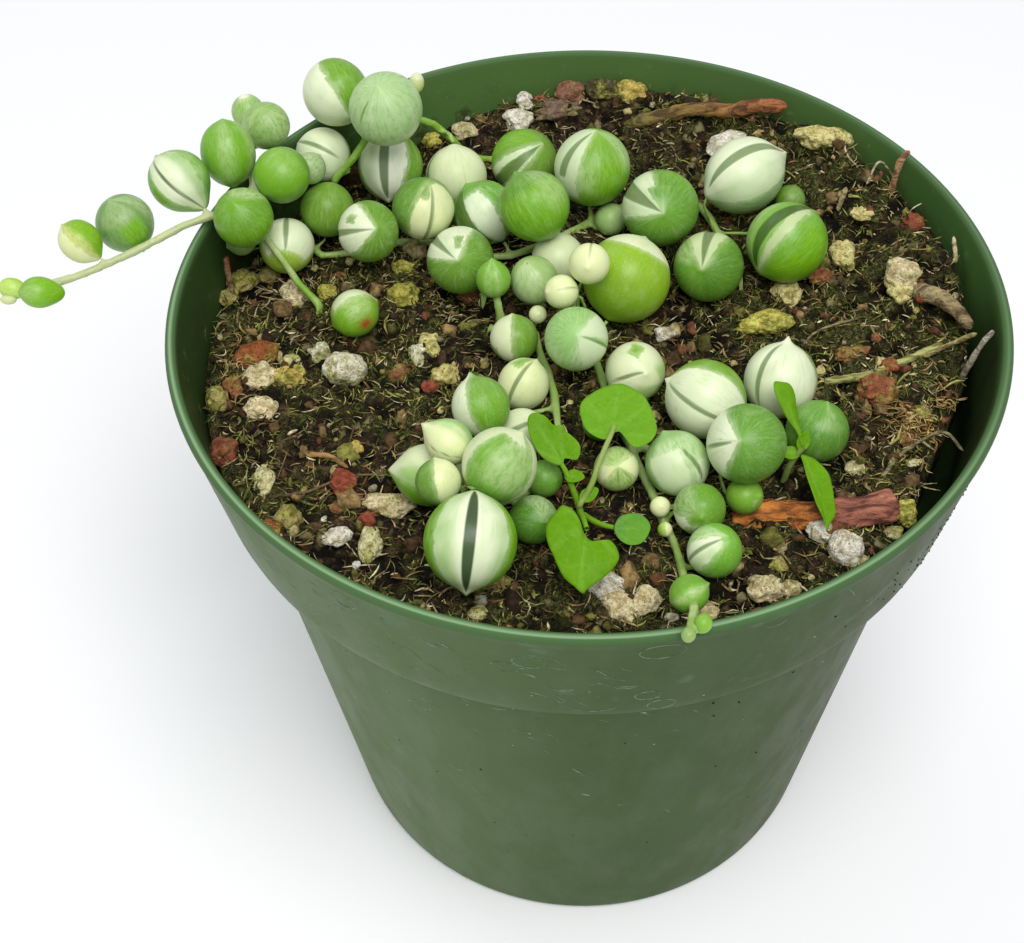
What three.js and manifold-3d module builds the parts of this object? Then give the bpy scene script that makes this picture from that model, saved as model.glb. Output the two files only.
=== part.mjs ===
// Potted string of pearls: a variegated trailing succulent rooted in a green nursery pot.
// Millimetres, +Z up. The origin is the middle of the pot's underside.
// A heading is an angle in plan, in degrees from +X towards +Y. A lean is measured from +Z.

import * as THREE from 'three';
import { mergeVertices } from 'three/addons/utils/BufferGeometryUtils.js';
import Module from 'manifold-3d';

const wasm = await Module();
wasm.setup();

// ---------------------------------------------------------------- driving dimensions

const GAP = 0.3; // clearance between pieces that touch

const POT = {
  height: 98,
  rimRadius: 55, // outside, at the top
  collarBottom: 77.5, // where the deep outer band ends
  collarBottomRadius: 51.5,
  bodyTopRadius: 48.2, // just under the band
  baseRadius: 38.6,
  wall: 1.5,
  floor: 1.6,
  shoulder: 2, // height of the slope inside, where the band begins
  edge: 0.4, // rounding of the lip and the base
  segments: 48,
};

const DRAIN = { count: 8, radius: 4, circle: 29 };

const SOIL = {
  level: 88,
  mound: 4.5, // rise against the wall at the back and the right
  moundStart: 34, // radius where the rise begins
  moundFull: 51,
  recess: 4, // how far the soil has shrunk from the wall at the right
  recessHeading: -28,
  recessSpread: 26,
  segments: 40,
};

const STEM = { radius: 0.8, sides: 5, step: 4, rootDepth: 2.5 };
const STALK = { radius: 0.55, sides: 4, spans: 3 };
const PEARL = { segments: 9, rings: 6, tip: 0.1, grownSegments: 6, grownRings: 5 };
const SETTLE = { passes: 60, gap: 0.35 };
const LEAF_THICKNESS = 0.5;

// ---------------------------------------------------------------- the plant, by strand

// Each pearl: name, x, y, height of its underside above the soil, diameter, tip lean,
// tip heading, length to width. A pearl marked "grown" is a bud in one piece with its stem.
const TRAILING_PEARLS = [
  ['trail_01', -76.5, 6.0, 8.0, 2.8, 95, 182, 1.15, 'grown'],
  ['trail_02', -72.0, 4.0, 8.0, 4.3, 65, 190, 1.1, 'grown'],
  ['trail_03', -67.0, 11.0, 10.2, 5.5, 55, 150, 1.12],
  ['trail_04', -62.0, 15.5, 8.0, 7.9, 20, 175, 1.0],
  ['trail_05', -54.5, 20.5, 10.8, 8.2, 58, 141, 1.06],
  ['trail_06', -48.3, 26.0, 11.2, 7.6, 36, 99, 1.2],
  ['trail_07', -47.0, 39.5, 9.5, 4.7, 15, 120, 1.08, 'grown'],
  ['trail_08', -43.5, 32.5, 11.2, 6.7, 8, -116, 1.0],
  ['trail_09', -40.5, 21.0, 11.0, 7.7, 80, 50, 1.0],
  ['trail_10', -37.0, 25.5, 9.4, 4.4, 60, 45, 1.0, 'grown'],
  ['trail_11', -45.5, 14.5, 9.0, 8.1, 25, -109, 1.0],
  ['trail_12', -47.0, 18.0, 4.0, 4.3, 100, -150, 1.0, 'grown'],
  ['trail_13', -41.0, 18.0, 1.2, 7.7, 80, 88, 1.0],
  ['trail_14', -35.6, 23.4, 3.1, 7.7, 16, 63, 1.0],
  ['trail_15', -29.0, 15.5, 4.8, 8.4, 48, -67, 1.0],
  ['trail_16', -21.5, 20.5, 4.2, 8.7, 18, 38, 1.0],
  ['trail_17', -16.5, 13.0, 0.7, 9.3, 48, -96, 1.0],
  ['trail_18', -13.0, 23.0, 0.7, 9.1, 48, 135, 1.0],
  ['trail_19', -6.0, 16.0, 7.2, 9.6, 48, 132, 1.0],
  ['trail_20', 2.5, 27.0, 4.0, 10.8, 12, 70, 1.0],
  ['trail_21', 11.5, 19.0, 3.0, 10.7, 57, -92, 1.0],
  ['trail_22', 5.0, 23.5, 0.4, 4.5, 60, 60, 1.0, 'grown'],
  ['trail_23', -3.0, 14.0, 0.4, 7.4, 60, 100, 1.0],
  ['trail_24', 24.5, 25.0, 2.9, 10.6, 76, 24, 1.1],
  ['trail_25', 28.5, 13.0, 1.0, 11.1, 65, 38, 1.0],
  ['trail_26', 17.5, 10.0, 0.5, 9.6, 54, -112, 1.0],
  ['trail_27', 30.0, 24.0, 2.2, 4.3, 50, 60, 1.0, 'grown'],
  ['trail_28', -31.0, 5.0, 0.4, 6.4, 72, 24, 1.04],
];

const BACK_PEARLS = [
  ['back_01', -36.5, 33.3, 4.5, 8.0, 80, 150, 1.0],
  ['back_02', -33.5, 36.0, 12.6, 9.3, 79, 115, 1.04],
  ['back_03', -26.0, 28.0, 15.0, 10.1, 20, -110, 1.0],
  ['back_04', -26.5, 32.0, 2.2, 9.4, 125, -95, 1.05],
  ['back_05', -17.0, 31.5, 0.6, 8.9, 145, -85, 1.0],
  ['back_06', -7.0, 34.0, 0.4, 9.7, 35, -27, 1.0],
];

const FRONT_PEARLS = [
  ['front_01', 6.0, 7.0, 0.4, 11.9, 60, 60, 1.0],
  ['front_02', 0.5, 2.5, 10.5, 5.3, 60, -100, 1.0, 'grown'],
  ['front_03', -3.0, 1.0, 8.0, 4.4, 70, -160, 1.0, 'grown'],
  ['front_04', -1.5, -6.0, 4.0, 8.3, 40, -91, 1.0],
  ['front_05', 6.0, -9.0, 1.0, 7.7, 52, -70, 1.0],
  ['front_06', 1.0, -16.0, 0.5, 4.3, 60, -60, 1.0, 'grown'],
  ['front_07', 2.5, -25.0, 1.5, 5.5, 35, -90, 1.0, 'grown'],
  ['front_08', 10.0, -25.0, 0.9, 7.9, 49, 120, 1.04],
  ['front_09', 14.5, -15.0, 0.5, 10.0, 74, 155, 1.04],
  ['front_10', 18.0, -26.5, 4.4, 9.7, 41, -119, 1.0],
  ['front_11', 24.5, -12.0, 0.5, 9.4, 36, 73, 1.04],
  ['front_12', 28.0, -20.0, 0.4, 7.9, 23, 53, 1.0],
  ['front_13', 18.0, -30.0, 2.0, 3.7, 60, -30, 1.0, 'grown'],
  ['front_14', 12.0, -32.5, 1.8, 6.3, 60, -93, 1.0],
  ['front_15', 13.0, -39.5, 2.5, 6.5, 25, -19, 1.0],
  ['front_16', 9.0, -48.0, 6.8, 4.3, 70, 18, 1.04, 'grown'],
  ['front_17', 7.5, -30.5, 2.0, 2.5, 40, -90, 1.0, 'grown'],
  ['front_18', 7.8, -33.8, 2.0, 1.8, 40, -90, 1.0, 'grown'],
  ['front_19', 9.7, -54.0, 10.5, 2.0, 60, 60, 1.1, 'grown'],
  ['front_20', 8.2, -55.0, 10.4, 1.6, 100, -110, 1.1, 'grown'],
];

const LEFT_PEARLS = [
  ['left_01', -12.0, 6.0, 5.7, 4.6, 25, 95, 1.08, 'grown'],
  ['left_02', -6.5, 7.5, 3.0, 6.5, 17, 179, 1.04],
  ['left_03', -6.2, 2.8, 3.1, 2.4, 50, -80, 1.0, 'grown'],
  ['left_04', -9.5, -1.5, 1.0, 6.4, 30, 95, 1.0],
  ['left_05', -8.5, -9.5, 0.4, 6.7, 49, 48, 1.02],
  ['left_06', -14.0, -18.0, 5.2, 7.3, 48, 112, 1.04],
  ['left_07', -9.0, -18.0, 0.4, 6.4, 60, 10, 1.0],
  ['left_08', -6.5, -25.0, 0.5, 4.6, 60, -40, 1.0, 'grown'],
  ['left_09', -8.0, -32.0, 0.4, 6.0, 50, -60, 1.0],
  ['left_10', -12.0, -30.0, 7.0, 8.9, 46, 36, 1.02],
  ['left_11', -18.0, -25.5, 7.7, 5.6, 65, 153, 1.08],
  ['left_12', -20.5, -25.0, 0.4, 7.8, 81, 176, 1.08],
  ['left_13', -19.0, -31.0, 7.4, 5.4, 45, 100, 1.0, 'grown'],
  ['left_14', -15.5, -39.5, 3.7, 10.9, 124, -98, 1.04],
];

// Each strand: its pearls, the runs of stem it is made of, and where a run enters the soil.
// The height of a point on a run is above the soil; a point with no height lies on the soil.
const STRANDS = {
  trailing_stem: {
    pearls: TRAILING_PEARLS,
    runs: [
      [
        [19.6, 15, 2.6], [20.2, 19.5, 2.6], [19, 24, 2.4], [17.5, 28, 1.6], [13, 29.5], [8, 28.5],
        [3.3, 25.6], [-1.8, 22.2], [-6.5, 19.6], [-11.7, 17.8], [-16, 19.3], [-19.8, 21.4],
        [-25.4, 22.1], [-31, 20.5], [-36, 19.5], [-41, 21, 4], [-45.3, 19.8, 7.6],
        [-47.8, 18.4, 10.4], [-50.8, 16.6, 11.7], [-54.5, 14.3, 11.8], [-58.5, 12.2, 11.1],
        [-64.9, 9.2, 9.8], [-70.3, 7.4, 9], [-76, 6.1, 9.3],
      ],
      [[-36.4, 9.7, 0.4], [-38.3, 10.8, 2.6], [-40.1, 12.5, 5.2], [-42, 14.5, 7.6],
        [-44.2, 17.2, 8.4], [-46.2, 19.2, 8.6]],
      [[-45.3, 19.8, 7.6], [-45.2, 22.5, 9.4], [-45.8, 27, 11], [-46.3, 31, 11.3],
        [-47.2, 35.5, 9.4], [-47, 38.5, 8.6]],
    ],
    roots: [[-36.4, 9.7]],
  },
  back_stem: {
    pearls: BACK_PEARLS,
    runs: [
      [
        [-8, 41.2, 0.6], [-14, 39], [-18, 38.5, 6.5], [-21.6, 37.3, 11], [-26, 33.8, 13.5],
        [-29.6, 30.6, 13], [-31.3, 29, 11.2], [-32.6, 28.2, 9.4], [-34.2, 28.2, 8],
        [-35.2, 28.6, 5.6], [-35, 28.2, 2.4], [-33, 26.5], [-30.5, 24],
      ],
    ],
    roots: [[-8, 41.2]],
  },
  front_stem: {
    pearls: FRONT_PEARLS,
    runs: [
      [
        [-1, 8.6, 0.6], [-0.8, 5], [0.8, -0.5], [2.1, -7.6], [3, -12.5], [4.6, -18],
        [6, -23.4], [7.3, -27.8], [8, -31.5], [9.2, -35.5], [9.3, -40.8, 3.2],
        [9.3, -47.5, 6.9], [9.2, -50.6, 10], [8.8, -53.2, 11.4], [8.3, -54.8, 11.3],
      ],
      [[4.3, -17], [7.5, -19.8], [11.5, -20.3], [18, -20.5], [22.5, -17.3]],
    ],
    roots: [[-1, 8.6]],
  },
  left_stem: {
    pearls: LEFT_PEARLS,
    runs: [
      [
        [-13.8, 4.2, 0.6], [-10.8, 2.9], [-6.6, 2.4], [-6, -2], [-4.8, -6.5], [-4.4, -12],
        [-4.4, -18], [-6.5, -25, 2], [-10.5, -26.5], [-15, -28.5], [-19.3, -31.3],
      ],
      [[-10.8, 2.9], [-11, 3, 2.5], [-11.6, 4.4, 5.4], [-12, 6, 8]],
    ],
    roots: [[-13.8, 4.2]],
  },
};

// ---------------------------------------------------------------- small helpers

const radians = THREE.MathUtils.degToRad;
const smooth = THREE.MathUtils.smoothstep;

// Unit vector of a lean and a heading.
function direction(lean, heading) {
  return new THREE.Vector3().setFromSphericalCoords(1, radians(lean), 0)
    .set(
      Math.sin(radians(lean)) * Math.cos(radians(heading)),
      Math.sin(radians(lean)) * Math.sin(radians(heading)),
      Math.cos(radians(lean)),
    );
}

// Signed difference of two headings, in degrees, from -180 to 180.
function headingFrom(heading, centre) {
  return THREE.MathUtils.euclideanModulo(heading - centre + 180, 360) - 180;
}

// A solid from any closed geometry: shared vertices merged, faces pointing out.
function solid(geometry) {
  const bare = geometry.clone();
  bare.deleteAttribute('normal');
  bare.deleteAttribute('uv');
  const merged = mergeVertices(bare, 1e-3);
  const vertProperties = merged.attributes.position.array;
  const corners = merged.index.array;
  const triVerts = [];
  for (let i = 0; i < corners.length; i += 3) {
    const [a, b, c] = [corners[i], corners[i + 1], corners[i + 2]];
    if (a !== b && b !== c && c !== a) triVerts.push(a, b, c);
  }
  if (signedVolume(vertProperties, triVerts) < 0) triVerts.reverse();
  const mesh = new wasm.Mesh({ numProp: 3, vertProperties, triVerts: new Uint32Array(triVerts) });
  return new wasm.Manifold(mesh);
}

function signedVolume(positions, triangles) {
  const corner = (k) => new THREE.Vector3().fromArray(positions, 3 * triangles[k]);
  let six = 0;
  for (let i = 0; i < triangles.length; i += 3) {
    six += corner(i).dot(corner(i + 1).cross(corner(i + 2)));
  }
  return six / 6;
}

// The geometry of a solid. Where a cut left crumbs, only the largest piece is kept.
function geometryOf(manifold) {
  const pieces = manifold.decompose();
  const largest = pieces.reduce((best, piece) => (piece.volume() > best.volume() ? piece : best));
  const { vertProperties, triVerts } = largest.getMesh();
  const geometry = new THREE.BufferGeometry();
  geometry.setAttribute('position', new THREE.BufferAttribute(vertProperties, 3));
  geometry.setIndex(new THREE.BufferAttribute(triVerts, 1));
  geometry.computeVertexNormals();
  return geometry;
}

function joined(solids) {
  return solids.reduce((whole, piece) => whole.add(piece));
}

// A geometry drawn along +Z, turned to face a direction and moved to a place.
function aimed(geometry, facing, place) {
  const turn = new THREE.Quaternion().setFromUnitVectors(new THREE.Vector3(0, 0, 1), facing);
  return geometry.applyQuaternion(turn).translate(place.x, place.y, place.z);
}

// A body of revolution about +Z from [radius, z] points.
function turned(points, segments) {
  const profile = points.map(([radius, z]) => new THREE.Vector2(radius, z));
  return new THREE.LatheGeometry(profile, segments).rotateX(Math.PI / 2);
}

function polygon(radius, sides) {
  const corners = [];
  for (let i = 0; i < sides; i += 1) {
    const angle = (2 * Math.PI * i) / sides;
    corners.push(new THREE.Vector2(radius * Math.cos(angle), radius * Math.sin(angle)));
  }
  return new THREE.Shape(corners);
}

// A bar of constant section along a smooth path.
function bar(section, points, steps) {
  const extrudePath = new THREE.CatmullRomCurve3(points, false, 'centripetal');
  return new THREE.ExtrudeGeometry(section, { steps, extrudePath });
}

function finish(name, color, roughness, manifold) {
  const material = new THREE.MeshStandardMaterial({ color, roughness, metalness: 0 });
  const mesh = new THREE.Mesh(geometryOf(manifold), material);
  mesh.name = name;
  return mesh;
}

// ---------------------------------------------------------------- pot

function collarRadius(z) {
  const share = (z - POT.collarBottom) / (POT.height - POT.collarBottom);
  return THREE.MathUtils.lerp(POT.collarBottomRadius, POT.rimRadius, share);
}

function bodyRadius(z) {
  return THREE.MathUtils.lerp(POT.baseRadius, POT.bodyTopRadius, z / POT.collarBottom);
}

function pot() {
  const { height, wall, edge, floor, collarBottom, shoulder, segments } = POT;
  const shell = turned([
    [0, 0],
    [POT.baseRadius - 2 * edge, 0],
    [bodyRadius(edge), 2 * edge],
    [POT.bodyTopRadius, collarBottom],
    [POT.collarBottomRadius - edge, collarBottom],
    [collarRadius(collarBottom + edge), collarBottom + edge],
    [collarRadius(height - edge), height - edge],
    [POT.rimRadius - edge, height],
    [POT.rimRadius - wall + edge / 2, height],
    [collarRadius(height - edge) - wall, height - edge],
    [collarRadius(collarBottom + shoulder) - wall, collarBottom + shoulder],
    [bodyRadius(collarBottom) - wall, collarBottom],
    [bodyRadius(floor) - wall, floor],
    [0, floor],
  ], segments);
  let body = solid(shell);
  for (let i = 0; i < DRAIN.count; i += 1) {
    const heading = (360 * (i + 0.5)) / DRAIN.count;
    const place = direction(90, heading).multiplyScalar(DRAIN.circle);
    const plug = turned([[0, -1], [DRAIN.radius, -1], [DRAIN.radius, floor + 1], [0, floor + 1]], 12);
    body = body.subtract(solid(plug.translate(place.x, place.y, 0)));
  }
  return finish('pot', 0x4b6b45, 0.45, body);
}

// ---------------------------------------------------------------- soil

// The soil is level where the plant lies, and mounded against the back and right wall.
function soilHeight(x, y) {
  const heading = THREE.MathUtils.radToDeg(Math.atan2(y, x));
  const sector = smooth(heading, -12, 8) * (1 - smooth(heading, 70, 130));
  return SOIL.level + SOIL.mound * sector * smooth(Math.hypot(x, y), SOIL.moundStart, SOIL.moundFull);
}

function soilEdge(heading) {
  const off = headingFrom(heading, SOIL.recessHeading) / SOIL.recessSpread;
  const share = Math.abs(off) < 1 ? Math.cos((off * Math.PI) / 2) ** 2 : 0;
  return collarRadius(SOIL.level) - POT.wall - GAP - SOIL.recess * share;
}

function soilBlock() {
  const top = SOIL.level;
  const outer = soilEdge(180);
  const ledge = POT.collarBottom + POT.shoulder + 1.5 * GAP;
  const inner = (z) => bodyRadius(z) - POT.wall - GAP;
  const rings = [1, 0.94, 0.86, 0.76, 0.64, 0.48, 0.28, 0];
  const geometry = turned([
    [0, POT.floor + GAP],
    [inner(POT.floor), POT.floor + GAP],
    [inner(POT.collarBottom), POT.collarBottom + GAP],
    [collarRadius(ledge) - POT.wall - GAP, ledge],
    ...rings.map((share) => [outer * share, top]),
  ], SOIL.segments);
  const { position } = geometry.attributes;
  for (let i = 0; i < position.count; i += 1) {
    if (position.getZ(i) < top - 1) continue;
    const [x, y] = [position.getX(i), position.getY(i)];
    const share = soilEdge(THREE.MathUtils.radToDeg(Math.atan2(y, x))) / outer;
    position.setXYZ(i, x * share, y * share, soilHeight(x * share, y * share));
  }
  return solid(geometry);
}

// The hole that a root goes down, a little wider than the stem.
function rootHole([x, y]) {
  const radius = STEM.radius + 2 * GAP;
  const depth = STEM.rootDepth + 2 * GAP;
  const hole = turned([[0, -depth], [radius, -depth], [radius, 1], [0, 1]], 8);
  return solid(hole.translate(x, y, soilHeight(x, y)));
}

// ---------------------------------------------------------------- pearls

function pearlBody(pearl, extra = 0) {
  const rings = pearl.grown ? PEARL.grownRings : PEARL.rings;
  const segments = pearl.grown ? PEARL.grownSegments : PEARL.segments;
  const radius = pearl.radius + extra;
  const reach = pearl.radius * pearl.stretch + extra;
  const points = [];
  for (let i = 0; i <= rings; i += 1) {
    const angle = Math.PI * (i / rings - 0.5);
    points.push([radius * Math.cos(angle), reach * Math.sin(angle)]);
  }
  points[0][0] = 0;
  points[rings] = [0, reach + PEARL.tip * pearl.radius];
  return solid(aimed(turned(points, segments), pearl.facing, pearl.centre));
}

function readPearl([name, x, y, lift, diameter, lean, heading, stretch, grown]) {
  const radius = diameter / 2;
  const centre = new THREE.Vector3(x, y, soilHeight(x, y) + lift + radius);
  return { name, centre, radius, stretch, facing: direction(lean, heading), grown: Boolean(grown) };
}

// The two ends of a pearl: its tip, and the foot where its stalk comes in.
function endOf(pearl, side) {
  const reach = pearl.radius * (pearl.stretch + (side > 0 ? PEARL.tip : 0));
  return pearl.centre.clone().addScaledVector(pearl.facing, side * reach);
}

// Pearls lean on each other, on the soil and on the wall, and never sink in.
function settle(pearls) {
  for (let pass = 0; pass < SETTLE.passes; pass += 1) {
    for (const one of pearls) {
      for (const other of pearls) {
        if (one === other) continue;
        spread(one, other, one.centre, one.radius);
        spread(one, other, endOf(one, 1), 0);
        spread(one, other, endOf(one, -1), 0);
      }
      holdInPot(one);
    }
  }
}

// Moves two pearls apart where a point of one comes too near the other.
function spread(one, other, point, radius) {
  const apart = point.clone().sub(other.centre);
  const short = radius + other.radius + SETTLE.gap - apart.length();
  if (short <= 0) return;
  apart.normalize().multiplyScalar(short / 2);
  one.centre.add(apart);
  other.centre.sub(apart);
}

function holdInPot({ centre, radius }) {
  const floor = soilHeight(centre.x, centre.y) + radius + SETTLE.gap;
  const out = Math.hypot(centre.x, centre.y);
  const limit = collarRadius(Math.min(centre.z, POT.height)) - POT.wall - SETTLE.gap - radius;
  if (out < POT.rimRadius - radius) centre.z = Math.max(centre.z, floor);
  if (centre.z < POT.height && out > limit && out < POT.rimRadius) {
    centre.x *= limit / out;
    centre.y *= limit / out;
  }
}

// ---------------------------------------------------------------- stems and stalks

// The level below a point: the soil inside the pot, the lip over the wall, nothing outside.
function groundUnder({ x, y }, margin) {
  const out = Math.hypot(x, y);
  if (out < POT.rimRadius - POT.wall - margin) return soilHeight(x, y);
  return out < POT.rimRadius + margin ? POT.height : -Infinity;
}

// Moves a point of a stem out of every pearl, and up off the soil and the lip.
function cleared(point, radius, pearls) {
  for (let pass = 0; pass < 8; pass += 1) {
    for (const pearl of pearls) {
      const apart = point.clone().sub(pearl.centre);
      const short = pearl.radius + radius + GAP - apart.length();
      if (short > 0) point.addScaledVector(apart.normalize(), short);
    }
    point.z = Math.max(point.z, groundUnder(point, radius + GAP) + radius + GAP);
  }
  return point;
}

function stemPoints(run, pearls) {
  return run.map(([x, y, height = 0]) => {
    const point = new THREE.Vector3(x, y, soilHeight(x, y) + height);
    return cleared(point, STEM.radius, pearls);
  });
}

function stem(points) {
  const length = new THREE.CatmullRomCurve3(points).getLength();
  const section = polygon(STEM.radius, STEM.sides);
  return solid(bar(section, points, Math.max(2, Math.round(length / STEM.step))));
}

// The short length of stem that goes down into the soil.
function root([x, y]) {
  const top = new THREE.Vector3(x, y, soilHeight(x, y) + STEM.radius + GAP);
  const bottom = top.clone().setZ(soilHeight(x, y) - STEM.rootDepth);
  return solid(bar(polygon(STEM.radius, STEM.sides), [bottom, top], 1));
}

// The stalk from the nearest point of the stems to the foot of a pearl.
function stalk(pearl, stemLine, pearls) {
  const foot = endOf(pearl, -1);
  const nearest = stemLine.reduce((best, point) => (
    point.distanceTo(foot) < best.distanceTo(foot) ? point : best));
  const reach = nearest.distanceTo(foot) * 0.4;
  const bend = foot.clone().addScaledVector(pearl.facing, -reach);
  const end = pearl.grown ? pearl.centre : foot.clone().addScaledVector(pearl.facing, -GAP);
  const curve = new THREE.QuadraticBezierCurve3(nearest, bend, end);
  const others = pearls.filter((other) => other !== pearl);
  const points = curve.getPoints(STALK.spans);
  const middle = points.slice(1, -1).map((point) => cleared(point, STALK.radius, others));
  const route = [nearest.clone(), ...middle, end.clone()];
  return solid(bar(polygon(STALK.radius, STALK.sides), route, STALK.spans));
}

function strand(name, { pearls, runs, roots }, everyPearl) {
  const solidPearls = everyPearl.filter((pearl) => !pearl.grown);
  const lines = runs.map((run) => stemPoints(run, solidPearls));
  const samples = lines.flatMap((line) => new THREE.CatmullRomCurve3(line, false, 'centripetal')
    .getSpacedPoints(line.length * 4));
  const parts = [...lines.map(stem), ...roots.map(root)];
  for (const pearl of pearls) {
    parts.push(stalk(pearl, samples, everyPearl));
    if (pearl.grown) parts.push(pearlBody(pearl));
  }
  const whole = solidPearls.reduce(
    (body, pearl) => body.subtract(pearlBody(pearl, GAP)),
    joined(parts),
  );
  return finish(name, 0xb9c98a, 0.5, whole);
}

// ---------------------------------------------------------------- weeds

// A heart with its notch at the origin and its point along +Y.
function heartShape(width, length) {
  const half = width / 2;
  const shape = new THREE.Shape();
  shape.moveTo(0, 0);
  shape.bezierCurveTo(half * 0.3, -length * 0.4, half, -length * 0.35, half, length * 0.2);
  shape.bezierCurveTo(half, length * 0.6, half * 0.4, length * 0.8, 0, length);
  shape.bezierCurveTo(-half * 0.4, length * 0.8, -half, length * 0.6, -half, length * 0.2);
  shape.bezierCurveTo(-half, -length * 0.35, -half * 0.3, -length * 0.4, 0, 0);
  return shape;
}

// A lance blade with its base at the origin and its point along +Y.
function lanceShape(width, length) {
  const half = width / 2;
  const shape = new THREE.Shape();
  shape.moveTo(half * 0.35, 0);
  shape.bezierCurveTo(half, length * 0.3, half, length * 0.6, 0, length);
  shape.bezierCurveTo(-half, length * 0.6, -half, length * 0.3, -half * 0.35, 0);
  shape.closePath();
  return shape;
}

// A blade of even thickness from one point towards another, its face turned to "up".
function blade(shape, from, to, up) {
  const options = { depth: LEAF_THICKNESS, bevelEnabled: false, curveSegments: 4 };
  const geometry = new THREE.ExtrudeGeometry(shape, options).translate(0, 0, -LEAF_THICKNESS / 2);
  const along = new THREE.Vector3().subVectors(to, from).normalize();
  const side = new THREE.Vector3().crossVectors(along, up).normalize();
  const face = new THREE.Vector3().crossVectors(side, along);
  const frame = new THREE.Matrix4().makeBasis(side, along, face).setPosition(from);
  return solid(geometry.applyMatrix4(frame));
}

const at = (x, y, z) => new THREE.Vector3(x, y, z);
const HEART_ROOT = [-2, -29];
const LANCE_ROOT = [23.8, -24];

function petiole(points) {
  return solid(bar(polygon(STALK.radius * 0.8, STALK.sides), points, 5));
}

function heartLeafSeedling() {
  const crown = at(...HEART_ROOT, SOIL.level + 1);
  const wide = [at(2.2, -22.4, 96.5), at(3.2, -15.5, 97.5)];
  const lobed = [at(-1.9, -37.6, 96), at(-3.2, -45, 94.6)];
  const folded = [at(-4.3, -26.1, 95.4), at(-8, -20.8, 98)];
  const small = [at(1.3, -33.5, 91), at(5.6, -34, 91)];
  return finish('heart_leaf_seedling', 0x5fa822, 0.5, joined([
    root(HEART_ROOT),
    petiole([crown, at(-1.6, -27.6, 90.5), at(-0.6, -26.4, 93.5), at(0.7, -25, 95.4), wide[0]]),
    petiole([crown, at(-1.7, -32, 92.5), at(-1.8, -35.5, 95.4), lobed[0]]),
    petiole([crown, at(-2.3, -28.6, 90.5), at(-3.4, -27.5, 92.4), folded[0]]),
    petiole([crown, at(-0.8, -31, 89.8), at(0.5, -32.8, 90.6), small[0]]),
    blade(heartShape(9.6, 7), ...wide, at(0, -0.15, 1)),
    blade(heartShape(8.4, 7.5), ...lobed, at(0, -0.3, 1)),
    blade(heartShape(5.4, 6.6), ...folded, at(-0.1, -0.5, 0.8)),
    blade(lanceShape(4.6, 4.4), ...small, at(0, -0.1, 1)),
  ]));
}

function lanceLeafSeedling() {
  const crown = at(25.4, -24.4, 94);
  return finish('lance_leaf_seedling', 0x6cb52b, 0.5, joined([
    root(LANCE_ROOT),
    petiole([at(...LANCE_ROOT, SOIL.level + 1), at(24.2, -24.4, 91), crown]),
    blade(lanceShape(2.8, 8.6), crown, at(22.9, -17.6, 99), at(0.5, -0.6, 0.7)),
    blade(lanceShape(3.6, 10), crown, at(27.6, -34.2, 91.7), at(0.3, 0, 1)),
    blade(lanceShape(2.2, 3), crown, at(22.8, -25.3, 94.2), at(0, -0.3, 1)),
  ]));
}

// ---------------------------------------------------------------- things lying on the soil

const STONES = [
  // name, x, y, size along x, y and z, turn in plan, colour
  ['pumice_stone', -32.3, -2.8, 6.2, 5, 4.6, 10, 0xd8dcb0],
  ['lava_stone', -44.4, 0.8, 6.6, 4.2, 3.6, 30, 0xa8562c],
  ['perlite_stone', 29.6, -36, 4.6, 5.2, 4.2, 20, 0xf2f0e6],
];

// An uneven lump, a third of it under the soil.
function stoneBody([, x, y, sizeX, sizeY, sizeZ, turn], extra = 0) {
  const lump = new THREE.IcosahedronGeometry(1, 1);
  const { position } = lump.attributes;
  for (let i = 0; i < position.count; i += 1) {
    const [px, py, pz] = [position.getX(i), position.getY(i), position.getZ(i)];
    const swell = 1 + 0.1 * Math.sin(5 * px + sizeX) * Math.cos(4 * py + sizeY + 3 * pz);
    position.setXYZ(i, px * swell, py * swell, pz * swell);
  }
  lump.scale(sizeX / 2 + extra, sizeY / 2 + extra, sizeZ / 2 + extra);
  lump.rotateZ(radians(turn));
  return solid(lump.translate(x, y, soilHeight(x, y) + sizeZ / 6));
}

// A strip of bark, uneven in section, sunk a little into the soil.
const BARK_LINE = [[16.8, -29.3], [21, -29.6], [26, -30.2], [31, -30.4], [36.6, -29.6]];

function barkBody(extra = 0) {
  const outline = [[2.2, 0.2], [1.3, 1.7], [-0.6, 2], [-2, 1.1], [-2.1, -0.7], [-0.8, -1.8], [1.2, -1.5]];
  const grown = outline.map(([x, y]) => new THREE.Vector2(x, y).setLength(Math.hypot(x, y) + extra));
  const points = BARK_LINE.map(([x, y], i) => at(x, y, soilHeight(x, y) - 0.9 + 0.45 * i));
  const ends = points.slice(1).map((point, i) => point.clone().sub(points[i]).normalize());
  points[0].addScaledVector(ends[0], -extra);
  points[points.length - 1].addScaledVector(ends[ends.length - 1], extra);
  return solid(bar(new THREE.Shape(grown), points, 8));
}

// A dry flower stalk lying across the mound at the right.
function dryStalk() {
  const radius = 0.6;
  const line = [[31.2, -8.3], [34.5, -7.9], [38, -7.1], [41.5, -5.6], [44.5, -4.4], [47.5, -3.8]];
  const points = line.map(([x, y]) => at(x, y, soilHeight(x, y) + radius + GAP));
  return finish('dry_stalk', 0xb9ae62, 0.8, solid(bar(polygon(radius, 5), points, 7)));
}

// ---------------------------------------------------------------- the whole part

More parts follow.
